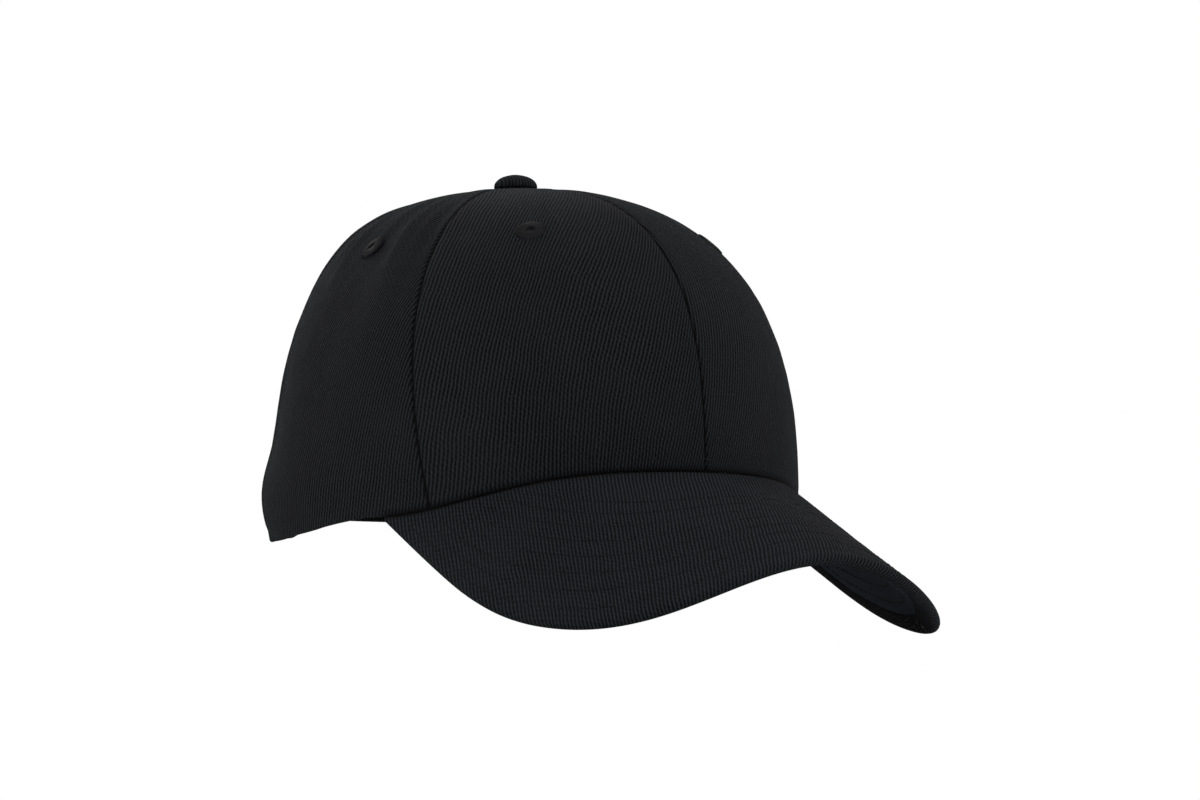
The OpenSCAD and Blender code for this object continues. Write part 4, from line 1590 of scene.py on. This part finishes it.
    def build(self, stitches: ThreadTree, tufts: ThreadTree) -> list[bpy.types.Object]:
        """Makes both straps, their stitches and their patches."""
        made = []
        straps = (("outer_strap", (self.tab_end, self.outer_free, True),
                   Body.SLIDER, Body.OUTER_FLAP, self.outer_hinge, -self.bend_reach),
                  ("inner_strap", (-self.tab_end, self.inner_free, False),
                   Body.SHELL, Body.INNER_FLAP, -self.inner_hinge, self.bend_reach))
        for name, run, root, flap, hinge, reach in straps:
            cloth = self.strap(name + "_cloth", *run)
            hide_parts(name, name + "_tab")
            for piece in (cloth, self.sewing(stitches, name + "_stitches", *run)):
                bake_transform(piece, root.value, flap.value,
                         start=self.spot(hinge - reach), end=self.spot(hinge + reach))
                made.append(piece)
        on_inner = self.inner_radius + self.thick
        hooks = Tape("hook_tape", "hook_tape_hooks", "hook_patch", Body.OUTER_FLAP,
                     self.finishes.hook, self.outer_free + 1.2, self.inner_free - 2,
                     self.outer_radius - 0.4, self.outer_radius - 0.04,
                     self.outer_radius - 0.52, -1, pitch=1.5, lean=0.5, seed=41)
        loops = Tape("loop_tape", "loop_tape_pile", "loop_patch", Body.INNER_FLAP,
                     self.finishes.loop, -self.inner_hinge + 4, self.inner_free - 1,
                     on_inner + 0.04, on_inner + 0.4, on_inner + 0.5, 1,
                     pitch=1.2, lean=1.4, seed=43)
        for tape in (hooks, loops):
            made.append(tie(self.ground(tape), tape.part, tape.body))
            made.append(tie(self.pile(tufts, tape), None, tape.body))
        return made

    def spot(self, q: float) -> tuple[float, float, float]:
        """Returns a place on the straps' circle at mid height, in metres."""
        middle = np.array([self.low + self.height / 2])
        p = self.place(np.array([self.inner_radius]), np.array([q]), middle)[0] * MM
        return (float(p[0]), float(p[1]), float(p[2]))


# ---------------------------------------------------------------- the studio


@dataclass
class Studio:
    """A plain pale floor, soft light and the camera, all outside the object."""

    floor_height: float = -0.05
    floor_half_width: float = 4.0
    ambient: float = 0.5
    lens: float = 124.78
    distance: float = 1.4
    azimuth: float = -33.95
    elevation: float = -5.0
    roll: float = -0.03
    target: tuple[float, float, float] = (0.0, -0.020, 0.060)
    shift: tuple[float, float] = (0.0296, -0.0503)

    def build(self) -> None:
        """Makes the floor, the light and the camera."""
        self.ground()
        self.sky()
        self.softbox("key_softbox", (-0.9, -1.0, 1.5), 1.3, 13.0)
        self.softbox("fill_softbox", (1.4, -0.9, 0.7), 1.1, 5.0)
        self.softbox("back_softbox", (0.3, 1.5, 1.1), 1.0, 6.0)
        self.shoot()

    def ground(self) -> None:
        """Makes the floor, which doesn't show from below."""
        material, node = new_material("pale_paper_floor")
        face = node("BsdfDiffuse", {"Color": linear("#f1f1ef")})
        behind = node("NewGeometry").outputs["Backfacing"]
        mixed = node("MixShader", {0: behind, 1: face, 2: node("BsdfTransparent")})
        node("OutputMaterial", {0: mixed})
        mesh = bpy.data.meshes.new("floor")
        w = self.floor_half_width
        z = self.floor_height
        mesh.from_pydata([(-w, -w, z), (w, -w, z), (w, w, z), (-w, w, z)], [], [(0, 1, 2, 3)])
        mesh.materials.append(material)
        floor = new_object("floor", mesh)
        floor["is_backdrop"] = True

    def sky(self) -> None:
        """Makes the even white surround."""
        world = bpy.data.worlds.new("white_surround")
        world.use_nodes = True
        world.node_tree.nodes.clear()
        node = partial(add_node, world.node_tree)
        seen = node("LightPath").outputs["Is Camera Ray"]
        strength = node("MapRange", {0: seen, 3: self.ambient, 4: 1.0})
        glow = node("Background", {0: (1.0, 1.0, 1.0, 1.0), 1: strength})
        node("OutputWorld", {0: glow})
        bpy.context.scene.world = world

    def softbox(self, name: str, spot: tuple[float, float, float], size: float,
                power: float) -> None:
        """Hangs one soft light that points at the cap."""
        data = bpy.data.lights.new(name, "AREA")
        data.shape = "DISK"
        data.size = size
        data.energy = power
        lamp = new_object(name, data)
        lamp.location = spot
        aim = Vector(self.target) - Vector(spot)
        lamp.rotation_euler = aim.to_track_quat("-Z", "Y").to_euler()

    def shoot(self) -> None:
        """Sets up the camera."""
        az, el, ro = (math.radians(v) for v in (self.azimuth, self.elevation, self.roll))
        back = Vector((math.sin(az) * math.cos(el), -math.cos(az) * math.cos(el), math.sin(el)))
        right = Vector((math.cos(az), math.sin(az), 0.0))
        up = back.cross(right)
        turned_right = right * math.cos(ro) + up * math.sin(ro)
        turned_up = up * math.cos(ro) - right * math.sin(ro)
        data = bpy.data.cameras.new("camera")
        data.lens = self.lens
        data.sensor_width = 36.0
        data.shift_x, data.shift_y = self.shift
        camera = new_object("camera", data)
        pose = Matrix((turned_right, turned_up, back)).transposed().to_4x4()
        pose.translation = Vector(self.target) + back * self.distance
        camera.matrix_world = pose
        bpy.context.scene.camera = camera
        bpy.context.scene.view_settings.view_transform = "Standard"


# ---------------------------------------------------------------- the cap


def report(pieces: list[bpy.types.Object]) -> None:
    """Logs each piece and its size."""
    for piece in pieces:
        LOG.info("%s: %d faces", piece.name, len(piece.data.polygons))


def main() -> None:
    """Builds the cap piece by piece on its CAD frame."""
    logging.basicConfig(level=logging.INFO, format="%(message)s")
    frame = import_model()
    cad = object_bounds()
    finishes = Finishes()
    form = CrownForm()
    stitches = ThreadTree("stitch_row", along_path=True)
    tufts = ThreadTree("single_threads", along_path=False)
    panels = CrownPanels(form, finishes)
    report(panels.build())
    report(panels.stiffening())
    report(panels.taping(stitches))
    report([panels.hems(stitches)])
    report(Eyelets(form, finishes).build(tufts))
    report(TopButton(form, finishes).build(frame["nodes"]))
    report(Brim(form, finishes).build(stitches))
    report(InnerBands(form, finishes).build(stitches))
    report(Closure(finishes).build(stitches, tufts))
    Studio(floor_height=cad[0][2] - 0.002).build()


if __name__ == "__main__":
    main()
